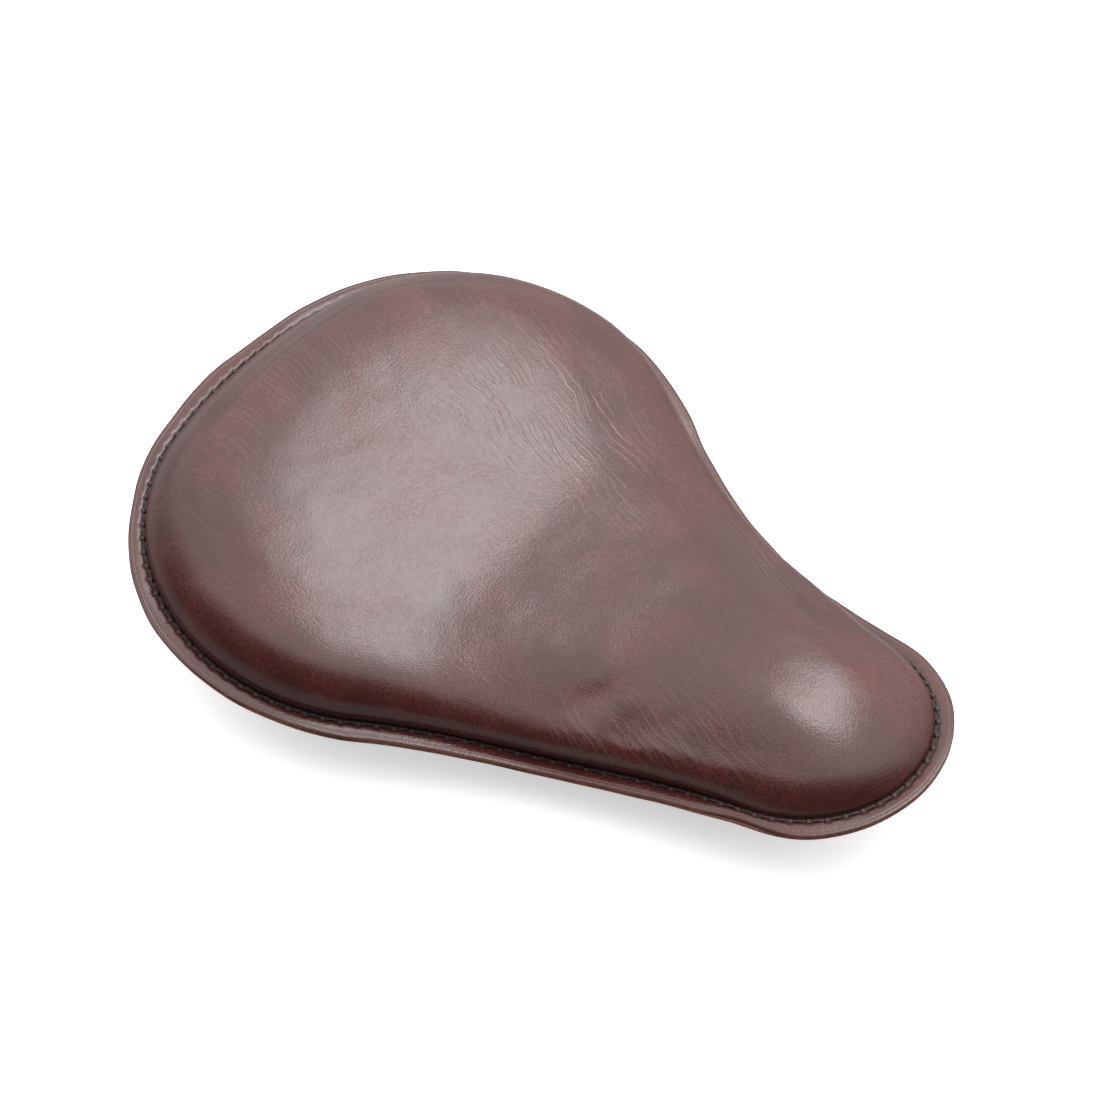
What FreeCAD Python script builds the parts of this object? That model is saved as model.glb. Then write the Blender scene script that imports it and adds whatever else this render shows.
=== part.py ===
# Sprung solo motorcycle seat: a leather cover over foam on a pressed steel pan, with a
# nose hinge and two spring studs underneath.
# Frame: millimetres, +X to the nose, +Y to the rider's left, +Z up.  The origin is on the
# floor that the seat stands on, under the middle of its length and width.
import FreeCAD, Part
import math
import os
import Sketcher
from FreeCAD import Placement, Rotation, Vector

doc = FreeCAD.newDocument("solo_seat")

# ---------------------------------------------------------------- driving dimensions
SIZES = {
    # plan outline: four tangent arcs a side, from the rear cap round to the nose
    "seat_length": 350.0,
    "seat_width": 254.0,
    "rear_cap_radius": 222.0,
    "side_radius": 99.0,
    "waist_radius": 325.0,
    "nose_radius": 56.0,
    # side profile of the leather edge's underside: rear kick, dip, nose kick
    "ride_height": 22.0,
    "dip_setback": 129.0,
    "dip_radius": 180.0,
    "rear_kick_angle": 7.7,
    "nose_kick_angle": 8.8,
    "profile_overrun": 12.0,
    "band_overrun": 20.0,
    "prism_height": 400.0,
    # leather edge and cover
    "welt_leather": 1.7,
    "welt_width": 26.0,
    "cover_leather": 1.8,
    "crease_inset": 8.0,
    "cushion_height": 36.0,
    "shoulder_radius": 22.0,
    "seam_inset": 6.4,
    "thread_width": 0.8,
    "thread_height": 0.6,
    # pan and foam
    "pan_thickness": 2.5,
    "pan_gap": 0.4,
    "base_foam": 14.0,
    "foam_gap": 0.2,
    # rivets round the pan's edge
    "rivets_per_side": 7,
    "rivet_inset": 18.0,
    "rivet_radius": 2.0,
    "rivet_hole_gap": 0.1,
    "rivet_head_radius": 4.5,
    "rivet_head_height": 1.2,
    "rivet_dome_radius": 0.84,
    "rivet_seat_gap": 0.06,
    "rivet_tail_radius": 3.4,
    "rivet_tail_height": 1.0,
    "foam_pocket_gap": 0.4,
    "drill_overrun": 5.0,
    # breather eyelets on the centre line of the rear pan
    "eyelet_count": 3,
    "eyelet_rear_setback": 65.0,
    "eyelet_dip_margin": 31.8825,
    "eyelet_bore_radius": 4.0,
    "eyelet_barrel_radius": 5.0,
    "eyelet_flange_radius": 7.5,
    "eyelet_flange": 0.8,
    # rear spring mounts
    "stud_setback": 80.0,
    "stud_spacing": 152.0,
    "stud_radius": 4.0,
    "stud_step": 1.0,
    "stud_root_cover": 4.2,
    "stud_root_spare": 1.0,
    "stud_tip_bevel": 0.8,
    "boss_radius": 12.0,
    "boss_floor": 28.0,
    "boss_bar_length": 60.0,
    "stud_washer_radius": 10.0,
    "stud_washer_thickness": 2.0,
    "stud_nut_flats": 17.0,
    "stud_nut_height": 5.0,
    # nose hinge
    "pivot_setback": 70.0,
    "pivot_height": 14.5,
    "ear_radius": 8.0,
    "ear_gap": 30.0,
    "ear_thickness": 3.0,
    "web_thickness": 3.0,
    "web_length": 44.0,
    "ear_blank_height": 28.0,
    "ear_slot_overrun": 20.0,
    "ear_hole_gap": 0.2,
    "tab_length": 50.0,
    "tab_width": 34.0,
    "tab_thickness": 4.0,
    "tab_corner_radius": 6.0,
    "tab_hole_spacing": 34.0,
    "tab_hole_radius": 4.25,
    "barrel_wall": 3.0,
    "bush_wall": 1.95,
    "bush_bore_gap": 0.05,
    "bush_flange_lip": 2.5,
    "bush_flange": 1.2,
    "bush_length": 11.0,
    "hinge_side_gap": 0.3,
    "pivot_bolt_radius": 4.0,
    "pivot_head_flats": 13.0,
    "pivot_head_height": 5.3,
    "pivot_nut_height": 8.0,
    "pivot_thread_spare": 2.5,
    "pivot_washer_radius": 8.0,
    "pivot_washer_thickness": 1.6,
}

sheet = doc.addObject("Spreadsheet::Sheet", "sheet")
for row, (alias, size) in enumerate(SIZES.items(), start=1):
    sheet.set(f"A{row}", alias)
    sheet.set(f"B{row}", str(size))
    sheet.setAlias(f"B{row}", alias)
doc.recompute()


def value(*aliases):
    """Sum of the named sizes, as a number; a leading minus sign takes one away."""
    return sum(-float(sheet.get(a[1:])) if a[0] == "-" else float(sheet.get(a)) for a in aliases)


def formula(*aliases):
    """The same sum as an expression on the sheet."""
    terms = [f"- sheet.{a[1:]}" if a[0] == "-" else f"+ sheet.{a}" for a in aliases]
    return "(0 " + " ".join(terms) + ")"


HALF_LENGTH = "(sheet.seat_length / 2)"
DIP_X = f"({HALF_LENGTH} - sheet.dip_setback)"
PIVOT_X = f"({HALF_LENGTH} - sheet.pivot_setback)"
STUD_X = f"(sheet.stud_setback - {HALF_LENGTH})"
half_length = value("seat_length") / 2
dip_x = half_length - value("dip_setback")
pivot_x = half_length - value("pivot_setback")
stud_x = value("stud_setback") - half_length
rear_kick = math.radians(value("rear_kick_angle"))
nose_kick = math.radians(value("nose_kick_angle"))
UPRIGHT = Rotation(Vector(1, 0, 0), 90)
CLOSE = 0.01  # how near counts as touching, in millimetres


# ---------------------------------------------------------------- small helpers
def add(kind, name, **links):
    made = doc.addObject(kind, name)
    for key, link in links.items():
        setattr(made, key, link)
    return made


def bind(made, **formulas):
    for key, text in formulas.items():
        made.setExpression(key.replace("__", "."), text)
    return made


def move(made, x="0", y="0", z="0", rotation=None):
    """Place an object at expressions for x, y and z, with a fixed rotation."""
    made.Placement = Placement(Vector(), rotation or Rotation())
    return bind(made, Placement__Base__x=x, Placement__Base__y=y, Placement__Base__z=z)


def cylinder(name, radius, height, x="0", y="0", z="0", rotation=None):
    made = bind(add("Part::Cylinder", name), Radius=radius, Height=height)
    return move(made, x, y, z, rotation)


def hexagon(name, flats, height, x="0", y="0", z="0", rotation=None):
    made = add("Part::Prism", name, Polygon=6)
    bind(made, Circumradius=f"{flats} / sqrt(3)", Height=height)
    return move(made, x, y, z, rotation)


def cut(name, base, tool):
    return add("Part::Cut", name, Base=base, Tool=tool)


def fuse(name, *shapes):
    return add("Part::MultiFuse", name, Shapes=list(shapes))


def common(name, *shapes):
    return add("Part::MultiCommon", name, Shapes=list(shapes))


def extrude(name, sketch, length, symmetric):
    made = add("Part::Extrusion", name, Base=sketch, DirMode="Normal", Solid=True, Symmetric=symmetric)
    return bind(made, LengthFwd=length)


def copies(name, master, placements):
    """One node of identical separate solids: the master's shape at each placement."""
    doc.recompute()
    solids = []
    for placement in placements:
        solid = master.Shape.copy()
        solid.Placement = placement.multiply(master.Placement)
        solids.append(solid)
    made = doc.addObject("Part::Feature", name)
    made.Shape = Part.makeCompound(solids)
    return made


# ---------------------------------------------------------------- outline and profile
def outline_centres():
    """Centres of the rear cap, side, waist and nose arcs on the +Y side."""
    cap = Vector(value("rear_cap_radius") - half_length, 0, 0)
    nose = Vector(half_length - value("nose_radius"), 0, 0)
    side_y = value("seat_width") / 2 - value("side_radius")
    reach = value("rear_cap_radius", "-side_radius")
    side = Vector(cap.x - math.sqrt(reach**2 - side_y**2), side_y, 0)
    across = nose - side
    to_side = value("side_radius", "waist_radius")
    to_nose = value("nose_radius", "waist_radius")
    along = (to_side**2 - to_nose**2 + across.Length**2) / (2 * across.Length)
    unit = across.normalize()
    waist = side + unit * along + Vector(-unit.y, unit.x, 0) * math.sqrt(to_side**2 - along**2)
    return cap, side, waist, nose


CAP, SIDE, WAIST, NOSE = outline_centres()


def outline_joins(inset):
    """Points where the arcs meet on the +Y side, for the outline moved in by inset."""
    cap_side = SIDE + (SIDE - CAP).normalize() * (value("side_radius") - inset)
    side_waist = SIDE + (WAIST - SIDE).normalize() * (value("side_radius") - inset)
    waist_nose = NOSE + (WAIST - NOSE).normalize() * (value("nose_radius") - inset)
    return cap_side, side_waist, waist_nose


def arc(centre, start, end):
    """Counter-clockwise arc about a centre from one point's bearing to another's."""
    bearings = [math.atan2(p.y - centre.y, p.x - centre.x) for p in (start, end)]
    circle = Part.Circle(centre, Vector(0, 0, 1), (start - centre).Length)
    return Part.ArcOfCircle(circle, *bearings)


def outline_sketch(name, inset):
    """The plan outline moved in by the sum of the inset sizes, on the XY plane."""
    sketch = add("Sketcher::SketchObject", name)
    joins = outline_joins(value(*inset))
    mirrored = [Vector(p.x, -p.y, 0) for p in joins]
    side_low = Vector(SIDE.x, -SIDE.y, 0)
    waist_low = Vector(WAIST.x, -WAIST.y, 0)
    sketch.addGeometry(
        [
            arc(CAP, joins[0], mirrored[0]),
            arc(side_low, mirrored[0], mirrored[1]),
            arc(waist_low, mirrored[2], mirrored[1]),
            arc(NOSE, mirrored[2], joins[2]),
            arc(WAIST, joins[1], joins[2]),
            arc(SIDE, joins[1], joins[0]),
        ],
        False,
    )
    start, end = 1, 2
    for first, first_end, second, second_end in (
        (0, end, 1, start),
        (1, end, 2, end),
        (2, start, 3, start),
        (3, end, 4, end),
        (4, start, 5, start),
        (5, end, 0, start),
    ):
        sketch.addConstraint(Sketcher.Constraint("Tangent", first, first_end, second, second_end))
    for geometry, radius, sign in (
        (0, "rear_cap_radius", -1),
        (1, "side_radius", -1),
        (2, "waist_radius", 1),
        (3, "nose_radius", -1),
        (4, "waist_radius", 1),
        (5, "side_radius", -1),
    ):
        moved_in = value(radius) + sign * value(*inset)
        drive(sketch, "Radius", (geometry,), moved_in, f"sheet.{radius} + {sign} * {formula(*inset)}")
    drive(sketch, "DistanceX", (0, 3), CAP.x, f"sheet.rear_cap_radius - {HALF_LENGTH}")
    drive(sketch, "DistanceX", (3, 3), NOSE.x, f"{HALF_LENGTH} - sheet.nose_radius")
    drive(sketch, "DistanceY", (1, 3), -SIDE.y, "sheet.side_radius - sheet.seat_width / 2")
    drive(sketch, "DistanceY", (5, 3), SIDE.y, "sheet.seat_width / 2 - sheet.side_radius")
    for geometry in (0, 3):
        sketch.addConstraint(Sketcher.Constraint("PointOnObject", geometry, 3, -1))
    return sketch


def drive(sketch, kind, place, size, text):
    """A driving constraint whose size is bound to an expression."""
    index = sketch.addConstraint(Sketcher.Constraint(kind, *place, size))
    sketch.setExpression(f"Constraints[{index}]", text)


def profile_point(angle, height):
    """Where the dip's arc ends, at a height above the leather edge's underside."""
    radius = value("dip_radius") - height
    centre_z = value("ride_height", "dip_radius")
    return Vector(dip_x + radius * math.sin(angle), centre_z - radius * math.cos(angle), 0)


def profile_height(x, height):
    """Z of the profile at x, at a height above the leather edge's underside."""
    rear_join, nose_join = profile_point(-rear_kick, height), profile_point(nose_kick, height)
    if x < rear_join.x:
        return rear_join.y + (rear_join.x - x) * math.tan(rear_kick)
    if x > nose_join.x:
        return nose_join.y + (x - nose_join.x) * math.tan(nose_kick)
    radius = value("dip_radius") - height
    return value("ride_height", "dip_radius") - math.sqrt(radius**2 - (x - dip_x) ** 2)


def profile_slope(x, height):
    """Slope angle of the profile at x."""
    radius = value("dip_radius") - height
    if abs(x - dip_x) >= radius:
        return -rear_kick if x < dip_x else nose_kick
    return min(max(math.asin((x - dip_x) / radius), -rear_kick), nose_kick)


def profile_sketch(name, low, high):
    """The band between two heights over the leather edge's underside, on the XZ plane."""
    sketch = add("Sketcher::SketchObject", name)
    sketch.Placement = Placement(Vector(), UPRIGHT)
    reach = half_length + value("profile_overrun")
    centre = Vector(dip_x, value("ride_height", "dip_radius"), 0)

    def end_point(x, height):
        return Vector(x, profile_height(x, height), 0)

    low_rear, low_nose = (profile_point(a, value(*low)) for a in (-rear_kick, nose_kick))
    high_rear, high_nose = (profile_point(a, value(*high)) for a in (-rear_kick, nose_kick))
    corners = [end_point(x, value(*level)) for x in (-reach, reach) for level in (low, high)]
    sketch.addGeometry(
        [
            Part.LineSegment(corners[0], low_rear),
            arc(centre, low_rear, low_nose),
            Part.LineSegment(low_nose, corners[2]),
            Part.LineSegment(corners[2], corners[3]),
            Part.LineSegment(corners[3], high_nose),
            arc(centre, high_rear, high_nose),
            Part.LineSegment(high_rear, corners[1]),
            Part.LineSegment(corners[1], corners[0]),
        ],
        False,
    )
    start, end = 1, 2
    for place in ((0, end, 1, start), (1, end, 2, start), (4, end, 5, end), (5, start, 6, start)):
        sketch.addConstraint(Sketcher.Constraint("Tangent", *place))
    centre_of = 3
    for place in (
        (2, end, 3, start),
        (3, end, 4, start),
        (6, end, 7, start),
        (7, end, 0, start),
        (1, centre_of, 5, centre_of),
    ):
        sketch.addConstraint(Sketcher.Constraint("Coincident", *place))
    for geometry in (3, 7):
        sketch.addConstraint(Sketcher.Constraint("Vertical", geometry))
    for first, second in ((4, 2), (6, 0)):
        sketch.addConstraint(Sketcher.Constraint("Parallel", first, second))
    drive(sketch, "DistanceX", (1, 3), centre.x, DIP_X)
    drive(sketch, "DistanceY", (1, 3), centre.y, "sheet.ride_height + sheet.dip_radius")
    for geometry, level in ((1, low), (5, high)):
        radius = value("dip_radius") - value(*level)
        drive(sketch, "Radius", (geometry,), radius, f"sheet.dip_radius - {formula(*level)}")
    drive(sketch, "Angle", (0,), -rear_kick, "-sheet.rear_kick_angle * 1 deg")
    drive(sketch, "Angle", (2,), nose_kick, "sheet.nose_kick_angle * 1 deg")
    drive(sketch, "DistanceX", (7, end), -reach, f"-({HALF_LENGTH} + sheet.profile_overrun)")
    drive(sketch, "DistanceX", (3, start), reach, f"{HALF_LENGTH} + sheet.profile_overrun")
    return sketch


def band(name, low, high):
    """The profile band as a slab right across the seat."""
    side_view = profile_sketch(name + "_profile", low, high)
    return extrude(name, side_view, "sheet.seat_width + 2 * sheet.band_overrun", True)


def prism(name, inset):
    """An upright prism on the outline, taller than the seat."""
    return extrude(name, outline_sketch(name + "_outline", inset), "sheet.prism_height", True)


def layer(name, inset, low, high):
    """A sheet that follows the profile between two heights, inside the outline."""
    return common(name, prism(name + "_prism", inset), band(name + "_band", low, high))


def rounded(name, base, radius, height):
    """Round the top rim of a layer: its edges at that height over the leather's underside."""
    doc.recompute()
    rim = []
    for number, edge in enumerate(base.Shape.Edges, start=1):
        ends = [edge.valueAt(edge.getParameterByLength(edge.Length * share)) for share in (0, 0.5, 1)]
        if all(abs(p.z - profile_height(p.x, height)) < CLOSE for p in ends):
            faces = base.Shape.ancestorsOfType(edge, Part.Face)
            if any(abs(face.normalAt(0, 0).z) < CLOSE for face in faces):
                rim.append((number, radius, radius))
    return add("Part::Fillet", name, Base=base, Edges=rim)


FLOOR = ()
WELT_TOP = ("welt_leather",)
FLANGE_TOP = ("welt_leather", "cover_leather")
PAN_TOP = ("welt_leather", "pan_thickness")
BASE_FOAM_TOP = PAN_TOP + ("base_foam",)
CUSHION_TOP = ("cushion_height",)
COVER_INSIDE = ("cushion_height", "-cover_leather")
FOAM_TOP = COVER_INSIDE + ("-foam_gap",)
WALL_INSIDE = ("crease_inset", "cover_leather")
PAN_INSET = WALL_INSIDE + ("pan_gap",)
RIVET_HOLE_RADIUS = formula("rivet_radius", "rivet_hole_gap")
DRILL_START = "-sheet.drill_overrun"
DRILL_DEPTH = formula("drill_overrun", *PAN_TOP, "drill_overrun")


# ---------------------------------------------------------------- leather edge and cover
def make_edge_welt():
    """Underside leather ring: the lower layer of the sewn edge, turned in under the pan."""
    sheet_of_leather = layer("welt_blank", FLOOR, FLOOR, WELT_TOP)
    ring = cut("welt_ring", sheet_of_leather, prism("welt_window", ("welt_width",)))
    return cut("welt_drilled", ring, drill_rivets("welt_rivet_holes", RIVET_HOLE_RADIUS, DRILL_DEPTH))


def make_top_cover():
    """Formed top leather: crown and wall over the foam, turned out into the sewn edge."""
    dome = layer("cover_dome", ("crease_inset",), WELT_TOP, CUSHION_TOP)
    dome = rounded("cover_dome_rounded", dome, value("shoulder_radius"), value(*CUSHION_TOP))
    hollow = layer("cover_hollow", WALL_INSIDE, FLOOR, COVER_INSIDE)
    inner_radius = value("shoulder_radius", "-cover_leather")
    hollow = rounded("cover_hollow_rounded", hollow, inner_radius, value(*COVER_INSIDE))
    flange = layer("cover_flange", FLOOR, WELT_TOP, FLANGE_TOP)
    return cut("top_cover_shell", fuse("cover_outside", dome, flange), hollow)


def make_seam_thread(name, low, high):
    """One thread of the lock-stitched seam, as a ring on its side of the sewn edge."""
    outside = layer(name + "_outside", ("seam_inset",), low, high)
    return cut(name + "_ring", outside, prism(name + "_window", ("seam_inset", "thread_width")))


# ---------------------------------------------------------------- fasteners set in the pan
def rivet_spots():
    """Where the rivets go: evenly along the inset outline, both sides, and both tips."""
    inset = value("rivet_inset")
    joins = outline_joins(inset)
    rear_tip, nose_tip = Vector(inset - half_length, 0, 0), Vector(half_length - inset, 0, 0)
    half_edges = Part.Wire(
        [
            arc(CAP, joins[0], rear_tip).toShape(),
            arc(SIDE, joins[1], joins[0]).toShape(),
            arc(WAIST, joins[1], joins[2]).toShape(),
            arc(NOSE, nose_tip, joins[2]).toShape(),
        ]
    )
    count = int(value("rivets_per_side"))
    spots = half_edges.discretize(Number=count + 2)
    return spots + [Vector(p.x, -p.y, 0) for p in spots[1:-1]]


def on_profile(spots, height=0.0):
    """Placements on the profile at each spot, turned to stand square to it."""
    placements = []
    for spot in spots:
        turn = Rotation(Vector(0, 1, 0), -math.degrees(profile_slope(spot.x, height)))
        spot_on_profile = Vector(spot.x, spot.y, profile_height(spot.x, height))
        placements.append(Placement(spot_on_profile, turn))
    return placements


def make_rivet_master():
    """Pan-head rivet: head under the welt, shank up through the pan, upset tail on top."""
    grip = formula(*PAN_TOP, "rivet_seat_gap")
    head = cylinder("rivet_head", "sheet.rivet_head_radius", "sheet.rivet_head_height")
    move(head, z="-sheet.rivet_head_height")
    doc.recompute()
    lower_rim = [n for n, e in enumerate(head.Shape.Edges, start=1) if e.BoundBox.ZMax < -CLOSE]
    dome = value("rivet_dome_radius")
    domed = add("Part::Fillet", "rivet_dome", Base=head, Edges=[(n, dome, dome) for n in lower_rim])
    shank = cylinder("rivet_shank", "sheet.rivet_radius", grip)
    tail = cylinder("rivet_tail", "sheet.rivet_tail_radius", "sheet.rivet_tail_height", z=grip)
    return fuse("rivet_master", domed, shank, tail)


def make_eyelet_master():
    """Breather eyelet: a barrel through the pan with a flange under it and one on top."""
    low = formula("welt_leather", "-eyelet_flange")
    tall = formula("pan_thickness", "eyelet_flange", "eyelet_flange")
    barrel = cylinder("eyelet_barrel", "sheet.eyelet_barrel_radius", tall, z=low)
    lower = cylinder("eyelet_lower_flange", "sheet.eyelet_flange_radius", "sheet.eyelet_flange", z=low)
    upper = cylinder("eyelet_upper_flange", "sheet.eyelet_flange_radius", "sheet.eyelet_flange")
    move(upper, z=formula(*PAN_TOP))
    bore = cylinder("eyelet_bore", "sheet.eyelet_bore_radius", tall, z=low)
    return cut("eyelet_master", fuse("eyelet_blank", barrel, lower, upper), bore)


def eyelet_spots():
    """Evenly along the flat rear of the pan, short of where the dip's arc starts."""
    first = value("eyelet_rear_setback") - half_length
    last = profile_point(-rear_kick, 0).x - value("eyelet_dip_margin")
    count = int(value("eyelet_count"))
    return [Vector(first + (last - first) * n / (count - 1), 0, 0) for n in range(count)]


def drill_rivets(name, radius, depth):
    """Cylinders that clear the rivets, for holes through the pan, welt and foam."""
    bit = cylinder(name + "_bit", radius, depth, z=DRILL_START)
    return copies(name, bit, on_profile(rivet_spots()))


def stud_sides():
    return (("left", "sheet.stud_spacing / 2"), ("right", "-sheet.stud_spacing / 2"))


# ---------------------------------------------------------------- pan and foam
def make_seat_pan():
    """Pressed steel pan, drilled for the rivets and the breather eyelets."""
    blank = layer("pan_blank", PAN_INSET, WELT_TOP, PAN_TOP)
    rivet_holes = drill_rivets("pan_rivet_holes", RIVET_HOLE_RADIUS, DRILL_DEPTH)
    eyelet_bit = cylinder("eyelet_bit", "sheet.eyelet_barrel_radius", DRILL_DEPTH, z=DRILL_START)
    eyelet_holes = copies("pan_eyelet_holes", eyelet_bit, on_profile(eyelet_spots()))
    return cut("pan_drilled", cut("pan_riveted", blank, rivet_holes), eyelet_holes)


def make_foam_blank():
    """The whole cushion's foam on the pan, its shoulder rounded to suit the cover."""
    blank = layer("foam_blank", PAN_INSET, PAN_TOP, FOAM_TOP)
    radius = value("shoulder_radius", "-cover_leather")
    return rounded("foam_blank_rounded", blank, radius, value(*FOAM_TOP))


def make_foam_base(foam_blank):
    """Firm lower foam, relieved over the rivet tails and eyelet flanges."""
    blank = common("foam_base_blank", foam_blank, band("foam_base_band", FLOOR, BASE_FOAM_TOP))
    past_tails = ("rivet_seat_gap", "rivet_tail_height", "foam_pocket_gap")
    pocket_depth = formula("drill_overrun", *PAN_TOP, *past_tails)
    tail_radius = formula("rivet_tail_radius", "foam_pocket_gap")
    tails = drill_rivets("foam_rivet_pockets", tail_radius, pocket_depth)
    eyelet_radius = formula("eyelet_flange_radius", "foam_pocket_gap")
    eyelet_bit = cylinder("foam_eyelet_bit", eyelet_radius, pocket_depth, z=DRILL_START)
    eyelets = copies("foam_eyelet_pockets", eyelet_bit, on_profile(eyelet_spots()))
    return cut("foam_base_relieved", cut("foam_base_pocketed", blank, tails), eyelets)


def make_foam_top(foam_blank):
    """Soft upper foam with the rounded shoulder that the cover is drawn over."""
    return common("foam_top_blank", foam_blank, band("foam_top_band", BASE_FOAM_TOP, CUSHION_TOP))


# ---------------------------------------------------------------- rear spring mounts
REAR_SLOPE = "(sheet.rear_kick_angle * 1 deg)"
REAR_JOIN_X = f"({DIP_X} - (sheet.dip_radius - sheet.welt_leather) * sin({REAR_SLOPE}))"
REAR_JOIN_Z = (
    f"(sheet.ride_height + sheet.dip_radius - (sheet.dip_radius - sheet.welt_leather) * cos({REAR_SLOPE}))"
)
PAN_OVER_STUD = f"({REAR_JOIN_Z} + ({REAR_JOIN_X} - {STUD_X}) * tan({REAR_SLOPE}))"
STUD_ROOT_RADIUS = formula("stud_radius", "stud_step")
STUD_ROOT_DEPTH = f"({PAN_OVER_STUD} - sheet.boss_floor - sheet.stud_root_cover)"


def make_spring_boss(side, y, under_pan):
    """Welded boss: cut to the pan's slope on top, level and bored for the stud below."""
    round_bar = cylinder(f"boss_{side}_bar", "sheet.boss_radius", "sheet.boss_bar_length")
    move(round_bar, STUD_X, y, "sheet.boss_floor")
    trimmed = common(f"boss_{side}_trimmed", round_bar, under_pan)
    bore = cylinder(f"boss_{side}_bore", STUD_ROOT_RADIUS, STUD_ROOT_DEPTH)
    move(bore, STUD_X, y, "sheet.boss_floor")
    return cut(f"boss_{side}_bored", trimmed, bore)


def make_spring_studs():
    """Stepped studs: a thick root screwed up into the boss, a plain M8 end for the spring."""
    studs = []
    under_boss = ("stud_washer_thickness", "stud_nut_height", "stud_root_spare")
    step_height = formula("boss_floor", *("-" + size for size in under_boss))
    root_height = f"{STUD_ROOT_DEPTH} + {formula(*under_boss)}"
    for side, y in stud_sides():
        end = cylinder(f"stud_{side}_end", "sheet.stud_radius", step_height, STUD_X, y)
        doc.recompute()
        tip_rim = [n for n, e in enumerate(end.Shape.Edges, start=1) if e.BoundBox.ZMax < CLOSE]
        bevel = value("stud_tip_bevel")
        tip_edges = [(n, bevel, bevel) for n in tip_rim]
        bevelled = add("Part::Chamfer", f"stud_{side}_tip", Base=end, Edges=tip_edges)
        root = cylinder(f"stud_{side}_root", STUD_ROOT_RADIUS, root_height)
        move(root, STUD_X, y, step_height)
        studs.append(fuse(f"stud_{side}", bevelled, root))
    return add("Part::Compound", "stud_pair", Links=studs)


def make_stud_washers():
    washers = []
    for side, y in stud_sides():
        z = formula("boss_floor", "-stud_washer_thickness")
        thickness = "sheet.stud_washer_thickness"
        disc = cylinder(f"stud_washer_{side}_disc", "sheet.stud_washer_radius", thickness, STUD_X, y, z)
        hole = cylinder(f"stud_washer_{side}_hole", STUD_ROOT_RADIUS, thickness, STUD_X, y, z)
        washers.append(cut(f"stud_washer_{side}", disc, hole))
    return add("Part::Compound", "stud_washer_pair", Links=washers)


def make_stud_nuts():
    """Thin lock nuts that hold the studs against their bosses."""
    nuts = []
    for side, y in stud_sides():
        z = formula("boss_floor", "-stud_washer_thickness", "-stud_nut_height")
        height = "sheet.stud_nut_height"
        blank = hexagon(f"stud_nut_{side}_blank", "sheet.stud_nut_flats", height, STUD_X, y, z)
        hole = cylinder(f"stud_nut_{side}_hole", STUD_ROOT_RADIUS, height, STUD_X, y, z)
        nuts.append(cut(f"stud_nut_{side}", blank, hole))
    return add("Part::Compound", "stud_nut_pair", Links=nuts)


# ---------------------------------------------------------------- nose hinge
BUSH_BORE = ("pivot_bolt_radius", "bush_bore_gap")
BUSH_OUTSIDE = BUSH_BORE + ("bush_wall",)
BARREL_RADIUS = BUSH_OUTSIDE + ("barrel_wall",)
EAR_HOLE_RADIUS = formula("pivot_bolt_radius", "ear_hole_gap")
EAR_OUTSIDE = "(sheet.ear_gap / 2 + sheet.ear_thickness)"
BARREL_WIDTH = "(sheet.ear_gap - 2 * sheet.bush_flange - 2 * sheet.hinge_side_gap)"
ALONG_Y = Rotation(Vector(1, 0, 0), -90)


def ear_sketch():
    """Side view of the hinge ears: round about the pivot, widening up to the pan."""
    sketch = add("Sketcher::SketchObject", "ear_profile")
    sketch.Placement = Placement(Vector(), UPRIGHT)
    pivot = Vector(pivot_x, value("pivot_height"), 0)
    half_web = value("web_length") / 2
    top_z = value("pivot_height", "ear_blank_height")
    corners = [Vector(pivot_x + half_web * s, top_z, 0) for s in (-1, 1)]

    def tangent_point(corner, side):
        to_corner = corner - pivot
        bearing = math.atan2(to_corner.y, to_corner.x)
        bearing += side * math.acos(value("ear_radius") / to_corner.Length)
        return pivot + Vector(math.cos(bearing), math.sin(bearing), 0) * value("ear_radius")

    left, right = tangent_point(corners[0], 1), tangent_point(corners[1], -1)
    sketch.addGeometry(
        [
            arc(pivot, left, right),
            Part.LineSegment(right, corners[1]),
            Part.LineSegment(corners[1], corners[0]),
            Part.LineSegment(corners[0], left),
        ],
        False,
    )
    start, end = 1, 2
    sketch.addConstraint(Sketcher.Constraint("Tangent", 0, end, 1, start))
    sketch.addConstraint(Sketcher.Constraint("Coincident", 1, end, 2, start))
    sketch.addConstraint(Sketcher.Constraint("Coincident", 2, end, 3, start))
    sketch.addConstraint(Sketcher.Constraint("Tangent", 3, end, 0, start))
    sketch.addConstraint(Sketcher.Constraint("Horizontal", 2))
    drive(sketch, "DistanceX", (0, 3), pivot.x, PIVOT_X)
    drive(sketch, "DistanceY", (0, 3), pivot.y, "sheet.pivot_height")
    drive(sketch, "Radius", (0,), value("ear_radius"), "sheet.ear_radius")
    drive(sketch, "DistanceX", (1, end), corners[1].x, f"{PIVOT_X} + sheet.web_length / 2")
    drive(sketch, "DistanceX", (2, end), corners[0].x, f"{PIVOT_X} - sheet.web_length / 2")
    drive(sketch, "DistanceY", (1, end), top_z, "sheet.pivot_height + sheet.ear_blank_height")
    return sketch


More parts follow.
